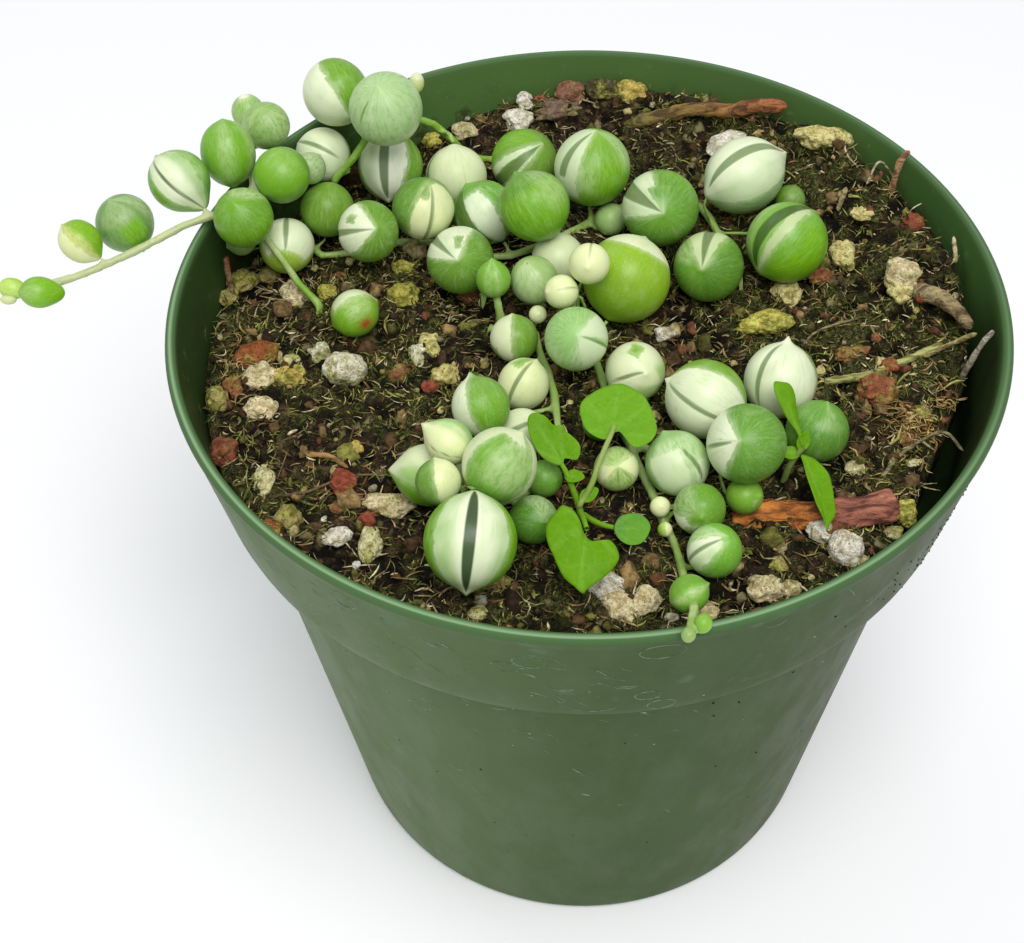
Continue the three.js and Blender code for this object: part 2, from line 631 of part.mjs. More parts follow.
function build() {
  const group = new THREE.Group();
  const plants = Object.entries(STRANDS)
    .map(([name, plan]) => [name, { ...plan, pearls: plan.pearls.map(readPearl) }]);
  const everyPearl = plants.flatMap(([, plan]) => plan.pearls);
  settle(everyPearl);

  group.add(pot());
  const roots = [...plants.flatMap(([, plan]) => plan.roots), HEART_ROOT, LANCE_ROOT];
  const sunk = [...roots.map(rootHole), ...STONES.map((stone) => stoneBody(stone, GAP)), barkBody(GAP)];
  const soil = sunk.reduce((body, hollow) => body.subtract(hollow), soilBlock());
  group.add(finish('soil', 0x3a2a1a, 0.95, soil));

  for (const [name, plan] of plants) group.add(strand(name, plan, everyPearl));
  for (const pearl of everyPearl.filter(({ grown }) => !grown)) {
    group.add(finish(`pearl_${pearl.name}`, 0x7fb45a, 0.35, pearlBody(pearl)));
  }
  group.add(heartLeafSeedling(), lanceLeafSeedling(), dryStalk());
  group.add(finish('bark', 0x7a4630, 0.85, barkBody()));
  for (const stone of STONES) group.add(finish(stone[0], stone[7], 0.9, stoneBody(stone)));
  return group;
}

export default build();
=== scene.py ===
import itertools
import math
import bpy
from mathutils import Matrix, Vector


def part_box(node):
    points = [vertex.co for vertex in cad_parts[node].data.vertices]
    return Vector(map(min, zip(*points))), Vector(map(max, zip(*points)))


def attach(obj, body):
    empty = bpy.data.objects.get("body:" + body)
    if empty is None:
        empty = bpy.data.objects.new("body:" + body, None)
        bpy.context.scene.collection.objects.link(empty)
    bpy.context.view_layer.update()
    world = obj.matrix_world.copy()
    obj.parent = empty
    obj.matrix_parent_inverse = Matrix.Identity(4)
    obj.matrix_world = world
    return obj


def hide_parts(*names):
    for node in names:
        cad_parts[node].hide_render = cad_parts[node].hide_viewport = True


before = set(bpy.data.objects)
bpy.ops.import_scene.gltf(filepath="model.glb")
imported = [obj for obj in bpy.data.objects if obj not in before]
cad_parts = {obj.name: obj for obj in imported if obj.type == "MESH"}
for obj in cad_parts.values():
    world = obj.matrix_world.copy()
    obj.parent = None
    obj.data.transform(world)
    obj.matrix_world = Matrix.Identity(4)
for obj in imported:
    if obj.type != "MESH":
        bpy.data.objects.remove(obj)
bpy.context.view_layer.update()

# Potted string of pearls: a variegated trailing succulent in a green nursery pot.
# Lengths are in millimetres in the row frame until a mesh is made; meshes are in metres.
# A heading is an angle in plan, in degrees from +X towards +Y. A lean is measured from +Z.
# Colours are screen colours from 0 to 255 until linear() turns them into light.

from types import SimpleNamespace

import bpy
import numpy as np
from mathutils import Matrix, Vector
from mathutils.bvhtree import BVHTree

MM = 0.001
SEED = 11


# ---------------------------------------------------------------- numbers and noise

def unit(v):
    v = np.asarray(v, float)
    return v / np.linalg.norm(v, axis=-1, keepdims=True)


def smooth(x, low, high):
    """0 at low, 1 at high, with a soft start and end."""
    t = np.clip((np.asarray(x, float) - low) / (high - low), 0, 1)
    return t * t * (3 - 2 * t)


def blend(a, b, share):
    return a * (1 - share) + b * share


def direction(lean, heading):
    a, b = math.radians(lean), math.radians(heading)
    return np.array([math.sin(a) * math.cos(b), math.sin(a) * math.sin(b), math.cos(a)])


def linear(colour):
    """A screen colour as linear light."""
    c = np.asarray(colour, float) / 255
    return np.where(c <= 0.04045, c / 12.92, ((c + 0.055) / 1.055) ** 2.4)


def hashed(cell, seed):
    """A fixed random number from -1 to 1 for each cell of a lattice."""
    h = (cell[..., 0] * 374761393 + cell[..., 1] * 668265263 + cell[..., 2] * 2147483647
         + seed * 1274126177) & 0xFFFFFFFF
    h = ((h ^ (h >> 13)) * 1274126177) & 0xFFFFFFFF
    return ((h ^ (h >> 16)) & 0xFFFF) / 32767.5 - 1


def noise(points, size, seed=0):
    """Smooth noise from -1 to 1 with lumps about `size` mm across."""
    p = np.asarray(points, float) / size
    cell = np.floor(p).astype(np.int64)
    f = smooth(p - cell, 0, 1)
    total = 0
    for corner in itertools.product((0, 1), repeat=3):
        share = np.where(corner, f, 1 - f)
        share = share[..., 0] * share[..., 1] * share[..., 2]
        total = total + share * hashed(cell + np.array(corner), seed)
    return total


def layered(points, size, octaves=3, seed=0):
    """Noise with finer and fainter noise on top."""
    total, share, norm = 0, 1, 0
    for k in range(octaves):
        total = total + share * noise(points, size / 2 ** k, seed + 17 * k)
        norm += share
        share *= 0.55
    return total / norm


# ---------------------------------------------------------------- meshes

COLOUR_KEYS = ("tint", "pale_tint")


def add_object(name, data):
    made = bpy.data.objects.new(name, data)
    bpy.context.scene.collection.objects.link(made)
    return made


def blank_mesh(name, verts, faces):
    """A mesh from millimetre vertices and a list of faces."""
    mesh = bpy.data.meshes.new(name)
    mesh.from_pydata((np.asarray(verts, float) * MM).tolist(), [], faces)
    return mesh


def even_mesh(name, verts, faces):
    """The same from an array of faces that all have as many corners: fast for big meshes."""
    mesh = bpy.data.meshes.new(name)
    count, width = faces.shape
    mesh.vertices.add(len(verts))
    mesh.vertices.foreach_set("co", (np.asarray(verts, float) * MM).ravel())
    mesh.loops.add(count * width)
    mesh.loops.foreach_set("vertex_index", faces.ravel().astype(np.int32))
    mesh.polygons.add(count)
    mesh.polygons.foreach_set("loop_start", np.arange(count, dtype=np.int32) * width)
    mesh.update(calc_edges=True)
    mesh.validate()
    return mesh


def applied(rough, *helpers):
    """An object's mesh with its modifiers applied. The object and its helpers are removed."""
    bpy.context.view_layer.update()
    ready = rough.evaluated_get(bpy.context.evaluated_depsgraph_get())
    mesh = bpy.data.meshes.new_from_object(ready)
    for each in (rough, *helpers):
        bpy.data.objects.remove(each)
    return mesh


def vectors(mesh, key):
    """The coordinates or normals of a mesh's vertices."""
    values = np.empty(len(mesh.vertices) * 3)
    mesh.vertices.foreach_get(key, values)
    return values.reshape(-1, 3)


def paint(mesh, key, data):
    """Stores a number, a colour or a vector at each vertex, for the material to read."""
    data = np.asarray(data, np.float32)
    if data.ndim == 1:
        kind, field = "FLOAT", "value"
    elif key in COLOUR_KEYS:
        kind, field = "FLOAT_COLOR", "color"
        data = np.hstack([data, np.ones((len(data), 1), np.float32)])
    else:
        kind, field = "FLOAT_VECTOR", "vector"
    mesh.attributes.new(key, kind, "POINT").data.foreach_set(field, data.ravel())


def finished(name, mesh, material, nodes, attributes):
    """The piece of the scene that shows a mesh and stands for these CAD nodes."""
    mesh.name = name
    mesh.polygons.foreach_set("use_smooth", [True] * len(mesh.polygons))
    for key, data in attributes.items():
        paint(mesh, key, data)
    mesh.materials.clear()
    mesh.materials.append(material)
    piece = add_object(name, mesh)
    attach(piece, "root")
    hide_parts(*nodes)
    return piece


def cad(name):
    """Vertices (mm) and faces of a CAD node."""
    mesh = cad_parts[name].data
    verts = np.array([v.co for v in mesh.vertices], float) / MM
    return verts, [tuple(p.vertices) for p in mesh.polygons]


def rings(radius, height, angle):
    """Points round the Z axis, as a grid with a row for each radius and height."""
    radius, height, angle = np.broadcast_arrays(radius, height, angle)
    return np.stack([radius * np.cos(angle), radius * np.sin(angle), height], -1)


def grid_faces(rows, columns, wrap=True):
    """Quads of a grid of rows x columns vertices, joined round in the columns."""
    i = np.arange(rows - 1)[:, None]
    j = np.arange(columns if wrap else columns - 1)[None, :]
    k = (j + 1) % columns
    corners = np.broadcast_arrays(i * columns + j, i * columns + k, (i + 1) * columns + k,
                                  (i + 1) * columns + j)
    return np.stack(corners, -1).reshape(-1, 4)


def barrel_faces(rows, columns, start=0):
    """Quads round a stack of rings, with one flat face over each end."""
    quads = [tuple(f) for f in (grid_faces(rows, columns) + start).tolist()]
    first = tuple(range(start, start + columns))
    last = tuple(k + (rows - 1) * columns for k in first)
    return quads + [first[::-1], last]


class Heap:
    """Many small shapes gathered in one mesh."""

    def __init__(self):
        self.verts, self.faces, self.data, self.count = [], [], {}, 0

    def add(self, verts, faces, **attributes):
        """Attributes are one value for the shape, or one for each vertex."""
        self.verts.append(verts)
        self.faces.append(np.asarray(faces) + self.count)
        self.count += len(verts)
        for key, value in attributes.items():
            value = np.asarray(value, float)
            if value.ndim == 0 or value.shape == (3,):
                value = np.broadcast_to(value, (len(verts),) + value.shape)
            self.data.setdefault(key, []).append(value)

    def piece(self, name, material, slot, nodes):
        data = {key: np.concatenate(value) for key, value in self.data.items()}
        mesh = even_mesh(name, np.concatenate(self.verts), np.concatenate(self.faces))
        return finished(name, mesh, material, nodes, data)


def ico(levels):
    """A unit ball of triangles, made by splitting an icosahedron."""
    g = (1 + 5 ** 0.5) / 2
    verts = [(-1, g, 0), (1, g, 0), (-1, -g, 0), (1, -g, 0), (0, -1, g), (0, 1, g),
             (0, -1, -g), (0, 1, -g), (g, 0, -1), (g, 0, 1), (-g, 0, -1), (-g, 0, 1)]
    faces = [(0, 11, 5), (0, 5, 1), (0, 1, 7), (0, 7, 10), (0, 10, 11), (1, 5, 9), (5, 11, 4),
             (11, 10, 2), (10, 7, 6), (7, 1, 8), (3, 9, 4), (3, 4, 2), (3, 2, 6), (3, 6, 8),
             (3, 8, 9), (4, 9, 5), (2, 4, 11), (6, 2, 10), (8, 6, 7), (9, 8, 1)]
    verts = [tuple(unit(v)) for v in verts]
    for _ in range(levels):
        middle, split = {}, []

        def half(a, b):
            key = (min(a, b), max(a, b))
            if key not in middle:
                middle[key] = len(verts)
                verts.append(tuple(unit(np.add(verts[a], verts[b]))))
            return middle[key]

        for a, b, c in faces:
            ab, bc, ca = half(a, b), half(b, c), half(c, a)
            split += [(a, ab, ca), (b, bc, ab), (c, ca, bc), (ab, bc, ca)]
        faces = split
    return np.array(verts), np.array(faces)


BALLS = {level: ico(level) for level in (1, 2, 3)}


def tube(points, radii, sides):
    """Vertices and quads of an open tube along points."""
    points = np.asarray(points, float)
    along = unit(np.gradient(points, axis=0))
    side = unit(np.cross(along, [0.03, 0.11, 1.0]))
    over = np.cross(side, along)
    turn = np.arange(sides)[:, None] * 2 * math.pi / sides
    ring = side[:, None] * np.cos(turn) + over[:, None] * np.sin(turn)
    verts = points[:, None] + ring * np.reshape(radii, (-1, 1, 1))
    return verts.reshape(-1, 3), grid_faces(len(points), sides)


def curve(points, steps):
    """A smooth line through points (Catmull-Rom)."""
    p = np.asarray(points, float)
    p = np.vstack([2 * p[0] - p[1], p, 2 * p[-1] - p[-2]])
    out = []
    for a, b, c, d in zip(p, p[1:], p[2:], p[3:]):
        for t in np.linspace(0, 1, steps, endpoint=False):
            out.append(0.5 * (2 * b + (c - a) * t + (2 * a - 5 * b + 4 * c - d) * t ** 2
                              + (3 * b - a - 3 * c + d) * t ** 3))
    out.append(p[-2])
    return np.array(out)


# ---------------------------------------------------------------- material building

class Look:
    """A node material under construction. Colours are screen colours."""

    def __init__(self, name):
        self.material = bpy.data.materials.new(name)
        self.material.use_nodes = True
        self.tree = self.material.node_tree
        self.shader = self.tree.nodes["Principled BSDF"]

    def node(self, kind, inputs, **settings):
        made = self.tree.nodes.new(kind)
        for key, value in settings.items():
            setattr(made, key, value)
        for key, value in inputs.items():
            self.set(made.inputs[key], value)
        return made

    def set(self, socket, value):
        if isinstance(value, bpy.types.NodeSocket):
            self.tree.links.new(value, socket)
        elif isinstance(value, tuple) and len(socket.default_value) == 4:
            socket.default_value = (*linear(value).tolist(), 1)
        else:
            socket.default_value = value

    def place(self):
        return self.node("ShaderNodeTexCoord", {}).outputs["Object"]

    def attribute(self, key, output="Fac"):
        return self.node("ShaderNodeAttribute", {}, attribute_name=key).outputs[output]

    def tint(self):
        return self.attribute("tint", "Color")

    def maths(self, operation, a, b, clamp=False):
        return self.node("ShaderNodeMath", {0: a, 1: b}, operation=operation,
                         use_clamp=clamp).outputs[0]

    def vector_maths(self, operation, a, b):
        return self.node("ShaderNodeVectorMath", {0: a, 1: b}, operation=operation).outputs[0]

    def times(self, first, *others):
        for other in others:
            first = self.maths("MULTIPLY", first, other)
        return first

    def plus(self, a, b):
        return self.maths("ADD", a, b)

    def minus(self, a, b):
        return self.maths("SUBTRACT", a, b)

    def noise(self, vector, scale, detail=3.0, rough=0.6, bend=0.0):
        return self.node("ShaderNodeTexNoise", {
            "Vector": vector, "Scale": scale, "Detail": detail, "Roughness": rough,
            "Distortion": bend}).outputs["Fac"]

    def cells(self, vector, scale, feature="F1"):
        return self.node("ShaderNodeTexVoronoi", {"Vector": vector, "Scale": scale},
                         feature=feature).outputs["Distance"]

    def granules(self, vector, scale):
        """Random cells: distance from each one's middle, and its own number from 0 to 1."""
        made = self.node("ShaderNodeTexVoronoi", {"Vector": vector, "Scale": scale})
        apart = self.node("ShaderNodeSeparateColor", {0: made.outputs["Color"]})
        return made.outputs["Distance"], apart.outputs[0]

    def bent(self, vector, scale, amount):
        """The vector shifted about by noise, so that what follows it looks ragged."""
        made = self.node("ShaderNodeTexNoise", {"Vector": vector, "Scale": scale, "Detail": 2.0})
        shift = self.vector_maths("SUBTRACT", made.outputs["Color"], (0.5, 0.5, 0.5))
        return self.vector_maths("ADD", vector, self.stretch(shift, amount, amount, amount))

    def stretch(self, vector, x, y, z):
        return self.vector_maths("MULTIPLY", vector, (x, y, z))

    def between(self, value, low, high, to_low=0.0, to_high=1.0):
        return self.node("ShaderNodeMapRange", {
            "Value": value, "From Min": low, "From Max": high, "To Min": to_low,
            "To Max": to_high}, interpolation_type="SMOOTHSTEP").outputs["Result"]

    def mix(self, share, a, b, blend_type="MIX"):
        return self.node("ShaderNodeMix", {0: share, 6: a, 7: b}, data_type="RGBA",
                         blend_type=blend_type).outputs[2]

    def over(self, body, colour, share, amount):
        """The body with another colour over it: share says where, amount how much."""
        return self.mix(self.times(share, amount), body, colour)

    def shaded(self, body, shade):
        return self.mix(1.0, body, shade, "MULTIPLY")

    def ramp(self, value, stops):
        made = self.node("ShaderNodeValToRGB", {"Fac": value})
        elements = made.color_ramp.elements
        while len(elements) < len(stops):
            elements.new(0.5)
        for element, (position, colour) in zip(elements, stops):
            element.position = position
            element.color = (*linear(colour).tolist(), 1)
        return made.outputs["Color"]

    def bump(self, height, distance, strength):
        return self.node("ShaderNodeBump", {"Height": height, "Distance": distance,
                                            "Strength": strength}).outputs["Normal"]

    def finish(self, **inputs):
        for key, value in inputs.items():
            self.set(self.shader.inputs[key.replace("_", " ")], value)
        return self.material


# ---------------------------------------------------------------- materials

def pearl_look():
    """Leaf skin: green or cream from the painted sectors, with fine lines from tip to base."""
    look = Look("pearl_skin")
    ring = look.attribute("ring", "Vector")
    cream, window, pale, lively, streaky, deep, dot = [look.attribute(key) for key in (
        "cream", "window", "pale", "lively", "streaky", "deep", "dot")]
    green, light = look.tint(), look.attribute("pale_tint", "Color")
    place = look.place()
    stripes = look.noise(look.stretch(ring, 1, 1, 0.16), 9.0, 4.0, 0.62)
    fine = look.noise(look.stretch(ring, 1, 1, 0.10), 34.0, 2.0)
    jagged = look.noise(look.stretch(ring, 1, 1, 0.5), 7.0, 4.0, 0.7)
    skin = look.noise(place, 2600.0, 2.0, 0.5)
    mottle = look.noise(place, 420.0)
    freckle = look.between(look.cells(place, 2300.0), 0.34, 0.12)

    light_green = look.mix(0.55, green, light)
    lines = look.maths("ADD", look.times(look.between(fine, 0.36, 0.64), lively),
                       look.minus(1.0, lively), True)
    body = look.mix(lines, look.shaded(green, (222, 229, 214)), green)
    body = look.mix(look.times(look.between(stripes, 0.50, 0.74), streaky, lively), body,
                    light_green)
    body = look.mix(look.maths("MULTIPLY", pale, look.between(jagged, 0.25, 0.62), True), body,
                    light_green)
    body = look.over(body, light_green, look.between(mottle, 0.50, 0.78), 0.24)
    body = look.over(body, light_green, freckle, 0.20)

    shadow = look.times(look.between(stripes, 0.50, 0.80), 0.26)
    cream_body = look.over(light, green, shadow, lively)
    cream_body = look.over(cream_body, green, look.between(mottle, 0.52, 0.80), 0.16)
    ragged = look.plus(look.times(look.minus(jagged, 0.5), 1.5),
                       look.times(look.minus(fine, 0.5), 0.6))
    edge = look.plus(cream, look.times(ragged, lively))
    body = look.over(body, cream_body, look.between(edge, -0.9, -0.05), 0.30)
    body = look.mix(look.between(edge, -0.14, 0.18), body, cream_body)

    glassy = look.mix(look.between(fine, 0.3, 0.7), (82, 110, 48), (106, 134, 70))
    glassy = look.mix(deep, glassy, (30, 62, 8))
    clear = look.between(deep, 0.0, 1.0, 0.80, 0.94)
    body = look.over(body, glassy, look.between(window, -0.12, 0.16), clear)
    body = look.mix(dot, body, (36, 24, 16))
    height = look.plus(look.times(fine, 0.6, lively), look.times(skin, 0.4))
    return look.finish(
        Base_Color=body, Roughness=look.between(mottle, 0.3, 0.7, 0.34, 0.46),
        Normal=look.bump(height, 0.00006, 0.6),
        Subsurface_Weight=0.22, Subsurface_Radius=(1.0, 1.0, 0.45), Subsurface_Scale=0.0013,
        Coat_Weight=0.10, Coat_Roughness=0.24, Specular_IOR_Level=0.32)


def stem_look():
    """Waxy stem: blotched paler along its length, with fine dull specks."""
    look = Look("stem_skin")
    place, tint = look.place(), look.tint()
    fine = look.noise(place, 1900.0, 2.0, 0.5)
    body = look.mix(look.between(look.noise(place, 260.0), 0.42, 0.66), tint,
                    look.mix(0.35, tint, (206, 214, 160)))
    body = look.over(body, (112, 132, 66), look.between(fine, 0.55, 0.75), 0.4)
    return look.finish(Base_Color=body, Roughness=0.5, Normal=look.bump(fine, 0.00008, 0.5),
                       Subsurface_Weight=0.15, Subsurface_Radius=(1.0, 1.0, 0.4),
                       Subsurface_Scale=0.0008)


def leaf_look():
    """Thin weed leaf: bright green with paler veins and a slightly puckered skin."""
    look = Look("weed_leaf_skin")
    place, tint = look.place(), look.tint()
    fine = look.noise(place, 1500.0)
    net = look.cells(place, 620.0, "DISTANCE_TO_EDGE")
    body = look.mix(look.between(look.noise(place, 160.0), 0.35, 0.68), tint,
                    look.mix(0.5, tint, (112, 164, 24)))
    body = look.over(body, (150, 190, 84), look.between(net, 0.10, 0.0), 0.08)
    body = look.over(body, (150, 186, 88), look.attribute("vein"), 0.20)
    body = look.over(body, (60, 106, 16), look.between(fine, 0.52, 0.75), 0.25)
    height = look.plus(look.times(fine, 0.5), look.times(net, 0.5))
    return look.finish(Base_Color=body, Roughness=0.55, Normal=look.bump(height, 0.00016, 0.7),
                       Subsurface_Weight=0.12, Subsurface_Radius=(0.8, 1.0, 0.3),
                       Subsurface_Scale=0.0006, Specular_IOR_Level=0.14)


def outer_plastic(look, place, x, z, cloud, film):
    """Outside of the pot: paler left and browner right, as painted light and shade; stained and
    blotted.
    """
    stain = look.noise(look.stretch(place, 1, 1, 0.7), 60.0)
    speck = look.between(look.noise(place, 1500.0, 2.0, 0.5), 0.70, 0.76)
    blot = look.between(look.noise(look.stretch(place, 1, 1, 1.5), 150.0, 3.0, 0.5), 0.62, 0.69)
    body = look.mix(look.between(cloud, 0.35, 0.7), (54, 78, 30), (60, 84, 36))
    # Painted light: paler towards the left.
    body = look.over(body, (87, 110, 64), look.between(x, 0.008, -0.034), 0.95)
    # Painted shade: darker and browner towards the right.
    body = look.over(body, (60, 72, 36), look.between(x, 0.010, 0.046), 0.8)
    body = look.over(body, (96, 120, 78), look.between(film, 0.55, 0.8), 0.22)
    body = look.over(body, (52, 66, 34), look.between(stain, 0.58, 0.72), 0.16)
    body = look.over(body, (40, 52, 30), speck, 0.5)
    on_band = look.between(z, 0.072, 0.080)
    return look.over(body, (92, 124, 96), look.times(blot, on_band), 0.30)


def inner_plastic(look, place, x, y, z, cloud):
    """Inside of the pot: deep green, with painted light at the back and painted shade at the left;
    dusty and soiled near the soil.
    """
    dust = look.between(look.noise(place, 520.0, 4.0, 0.7), 0.60, 0.70)
    soiled = look.between(look.noise(place, 260.0, 5.0, 0.75), 0.50, 0.62)
    # Painted shadow: the inner wall at the front right, below the lip, darkened to near black.
    gap_shadow = look.times(look.between(z, 0.0985, 0.0950), look.between(x, 0.034, 0.045),
                     look.between(y, 0.006, -0.008))
    body = look.mix(look.between(cloud, 0.35, 0.7), (60, 92, 44), (72, 106, 54))
    # Painted light: brighter towards the back.
    body = look.mix(look.between(y, 0.010, 0.045), body, (82, 112, 58))
    # Painted shade: darker towards the left.
    body = look.over(body, (40, 58, 26), look.between(x, -0.020, -0.050), 0.75)
    body = look.over(body, (150, 158, 124), look.times(dust, look.between(z, 0.099, 0.088)), 0.7)
    body = look.over(body, (52, 46, 28), look.times(soiled, look.between(z, 0.096, 0.089)), 0.8)
    return look.over(body, (20, 26, 12), gap_shadow, 0.85)


def plastic_look():
    """Moulded green plastic, with a paler lip and a painted highlight: a thin line of light along the
    lip.
    """
    look = Look("pot_plastic_skin")
    place = look.place()
    x, y, z = look.node("ShaderNodeSeparateXYZ", {0: place}).outputs
    cloud = look.noise(place, 22.0, 4.0)
    film = look.noise(look.stretch(place, 1, 1, 0.5), 130.0, 5.0, 0.7)
    body = look.mix(look.attribute("inside"), outer_plastic(look, place, x, z, cloud, film),
                    inner_plastic(look, place, x, y, z, cloud))
    body = look.over(body, (74, 106, 66), look.attribute("lip"), 0.8)
    # Painted highlight: a thin bright line along the lip, where the glint attribute says.
    body = look.mix(look.attribute("glint"), body, (140, 172, 130))
    height = look.plus(look.noise(place, 900.0), look.times(cloud, 2.0))
    return look.finish(Base_Color=body, Roughness=look.between(film, 0.3, 0.75, 0.42, 0.58),
                       Normal=look.bump(height, 0.00004, 0.5), Specular_IOR_Level=0.12)


def mark_look():
    """Thin chalky film left by water drops, and scratches."""
    look = Look("water_mark")
    patch = look.noise(look.place(), 700.0, 3.0, 0.7)
    body = look.mix(look.between(patch, 0.35, 0.65), look.tint(), (66, 92, 48))
    return look.finish(Base_Color=body, Roughness=0.5, Specular_IOR_Level=0.12)


PEAT_STOPS = [(0.30, (12, 8, 5)), (0.45, (44, 32, 20)), (0.54, (90, 70, 46)),
              (0.63, (144, 116, 80)), (0.78, (196, 170, 126))]
MOSS_STOPS = [(0.32, (10, 12, 4)), (0.44, (48, 54, 22)), (0.53, (98, 102, 48)),
              (0.62, (154, 152, 84)), (0.78, (206, 200, 132))]
GRANULE_STOPS = [(0.0, (22, 16, 8)), (0.18, (84, 60, 36)), (0.32, (58, 60, 24)),
                 (0.46, (120, 78, 46)), (0.60, (112, 108, 54)), (0.74, (60, 42, 26)),
                 (0.86, (170, 154, 100)), (1.0, (214, 200, 156))]
# Painted shade: how dark the soil is painted from its deepest hollows to its highest lumps.
HOLLOW_SHADE_STOPS = [(0.0, (70, 62, 52)), (0.5, (190, 184, 172)), (1.0, (255, 255, 255))]


def soil_look():
    """Peat: dark crevices, brown crumbs, olive moss and paler dry film, with painted shade in the
    hollows.
    """
    look = Look("soil_skin")
    place = look.place()
    grain = look.noise(place, 2100.0, 4.0, 0.75)
    crumbs = look.noise(place, 640.0, 5.0, 0.75)
    shreds = look.noise(place, 1150.0, 4.0, 0.75, 3.2)
    straw = look.noise(look.stretch(place, 1.0, 3.2, 1.0), 1250.0, 3.0, 0.7, 2.0)
    tossed = look.noise(place, 210.0)
    ragged = look.bent(place, 900.0, 0.0016)
    crumb_far, crumb_kind = look.granules(ragged, 560.0)
    bit_far, bit_kind = look.granules(ragged, 1300.0)
    crumb = look.mix(look.between(crumb_far, 0.30, 0.62), look.ramp(crumb_kind, GRANULE_STOPS),
                     (14, 10, 5))
    bit = look.mix(look.between(bit_far, 0.30, 0.60), look.ramp(bit_kind, GRANULE_STOPS),
                   (16, 12, 6))
    body = look.mix(look.between(look.attribute("moss"), 0.34, 0.60),
                    look.ramp(crumbs, PEAT_STOPS), look.ramp(shreds, MOSS_STOPS))
    body = look.over(body, (186, 168, 118), look.between(straw, 0.60, 0.70), 0.75)
    body = look.over(body, (12, 9, 5), look.between(grain, 0.50, 0.36), 0.75)
    body = look.over(body, crumb, look.between(tossed, 0.50, 0.58), 0.85)
    body = look.over(body, bit, look.between(tossed, 0.46, 0.38), 0.75)
    # Painted shade: darker in the hollows of the relief, read from the rise attribute.
    body = look.shaded(body, look.ramp(look.between(look.attribute("rise"), -0.9, 0.4),
                                       HOLLOW_SHADE_STOPS))
    height = look.plus(look.plus(look.times(grain, 0.6), crumbs), look.times(shreds, 0.8))
    height = look.minus(height, look.times(crumb_far, 0.6))
    height = look.minus(height, look.times(bit_far, 0.3))
    return look.finish(Base_Color=body, Roughness=0.92, Normal=look.bump(height, 0.0010, 1.0),
                       Specular_IOR_Level=0.22)


def shred_look():
    """Fibres, moss threads and crumbs: each carries its own tint."""
    look = Look("shred_skin")
    tint = look.tint()
    grain = look.noise(look.place(), 1300.0)
    body = look.mix(look.between(grain, 0.35, 0.65), look.shaded(tint, (176, 170, 160)), tint)
    return look.finish(Base_Color=body, Roughness=0.85, Normal=look.bump(grain, 0.0002, 0.6),
                       Specular_IOR_Level=0.25)


def stone_look():
    """Porous mineral grains: own tint, dark pits, and moss creeping over them."""
    look = Look("stone_skin")
    place, tint = look.place(), look.tint()
    grain = look.noise(place, 1100.0, 4.0, 0.7)
    patch = look.between(look.noise(place, 420.0), 0.46, 0.60)
    fleck = look.between(look.noise(place, 2600.0, 3.0, 0.7), 0.54, 0.66)
    pits = look.between(look.cells(place, 1700.0), 0.30, 0.10)
    hollow = look.times(pits, look.between(grain, 0.48, 0.6))
    algae = look.mix(look.between(grain, 0.40, 0.60), (104, 104, 34), (186, 184, 92))
    body = look.mix(look.between(grain, 0.34, 0.62), look.shaded(tint, (190, 178, 150)), tint)
    body = look.over(body, algae, patch, look.attribute("moss"))
    body = look.over(body, (96, 78, 48), fleck, 0.35)
    body = look.over(body, (86, 68, 42), hollow, 0.6)
    height = look.minus(look.times(grain, 1.3), look.times(hollow, 0.6))
    return look.finish(Base_Color=body, Roughness=0.88, Normal=look.bump(height, 0.0006, 1.0),
                       Specular_IOR_Level=0.25)


def bark_look():
    """Bark: flaking, orange inside, purple-brown outside."""
    look = Look("bark_skin")
    place, tint = look.place(), look.tint()
    flakes = look.noise(look.stretch(place, 0.5, 1.8, 1.8), 480.0, 5.0, 0.7, 0.6)
    grain = look.noise(place, 1600.0, 3.0, 0.65)
    body = look.mix(look.between(flakes, 0.36, 0.62), look.shaded(tint, (130, 112, 104)), tint)
    body = look.over(body, (214, 178, 140), look.between(flakes, 0.62, 0.76), 0.6)
    body = look.over(body, (66, 42, 26), look.between(grain, 0.58, 0.72), 0.4)
    height = look.plus(flakes, look.times(grain, 0.4))
    return look.finish(Base_Color=body, Roughness=0.8, Normal=look.bump(height, 0.0006, 0.9))


def stalk_look():
    """Dry stems: yellow-green, ribbed along the length."""
    look = Look("dry_stalk_skin")
    place, tint = look.place(), look.tint()
    ribs = look.noise(look.stretch(place, 0.35, 2.2, 2.2), 900.0)
    body = look.mix(look.between(ribs, 0.36, 0.64), look.shaded(tint, (150, 146, 120)), tint)
    body = look.over(body, (220, 212, 150), look.between(look.noise(place, 1500.0), 0.6, 0.75),
                     0.4)
    return look.finish(Base_Color=body, Roughness=0.75, Normal=look.bump(ribs, 0.0003, 0.8))


PEARL_SKIN, STEM_SKIN, LEAF_SKIN = pearl_look(), stem_look(), leaf_look()
PLASTIC, WATER_MARK = plastic_look(), mark_look()
SOIL_SKIN, SHRED_SKIN, STONE_SKIN = soil_look(), shred_look(), stone_look()
BARK_SKIN, STALK_SKIN = bark_look(), stalk_look()


# ---------------------------------------------------------------- pearls

# The azimuth of a feature is counted round the pearl's tip from the side that faces FRONT,
# in degrees; its polar angle is counted from the tip.
FRONT = unit((0, -0.65, 0.76))

GREENS = {
    "leaf": (124, 176, 60), "bright": (128, 178, 50), "dull": (128, 162, 86),
    "blue": (118, 166, 92), "dark": (96, 144, 42), "lime": (146, 188, 40),
    "mint": (160, 196, 120), "pale": (196, 212, 140), "mid": (114, 162, 54),
    "spring": (170, 204, 66),
}
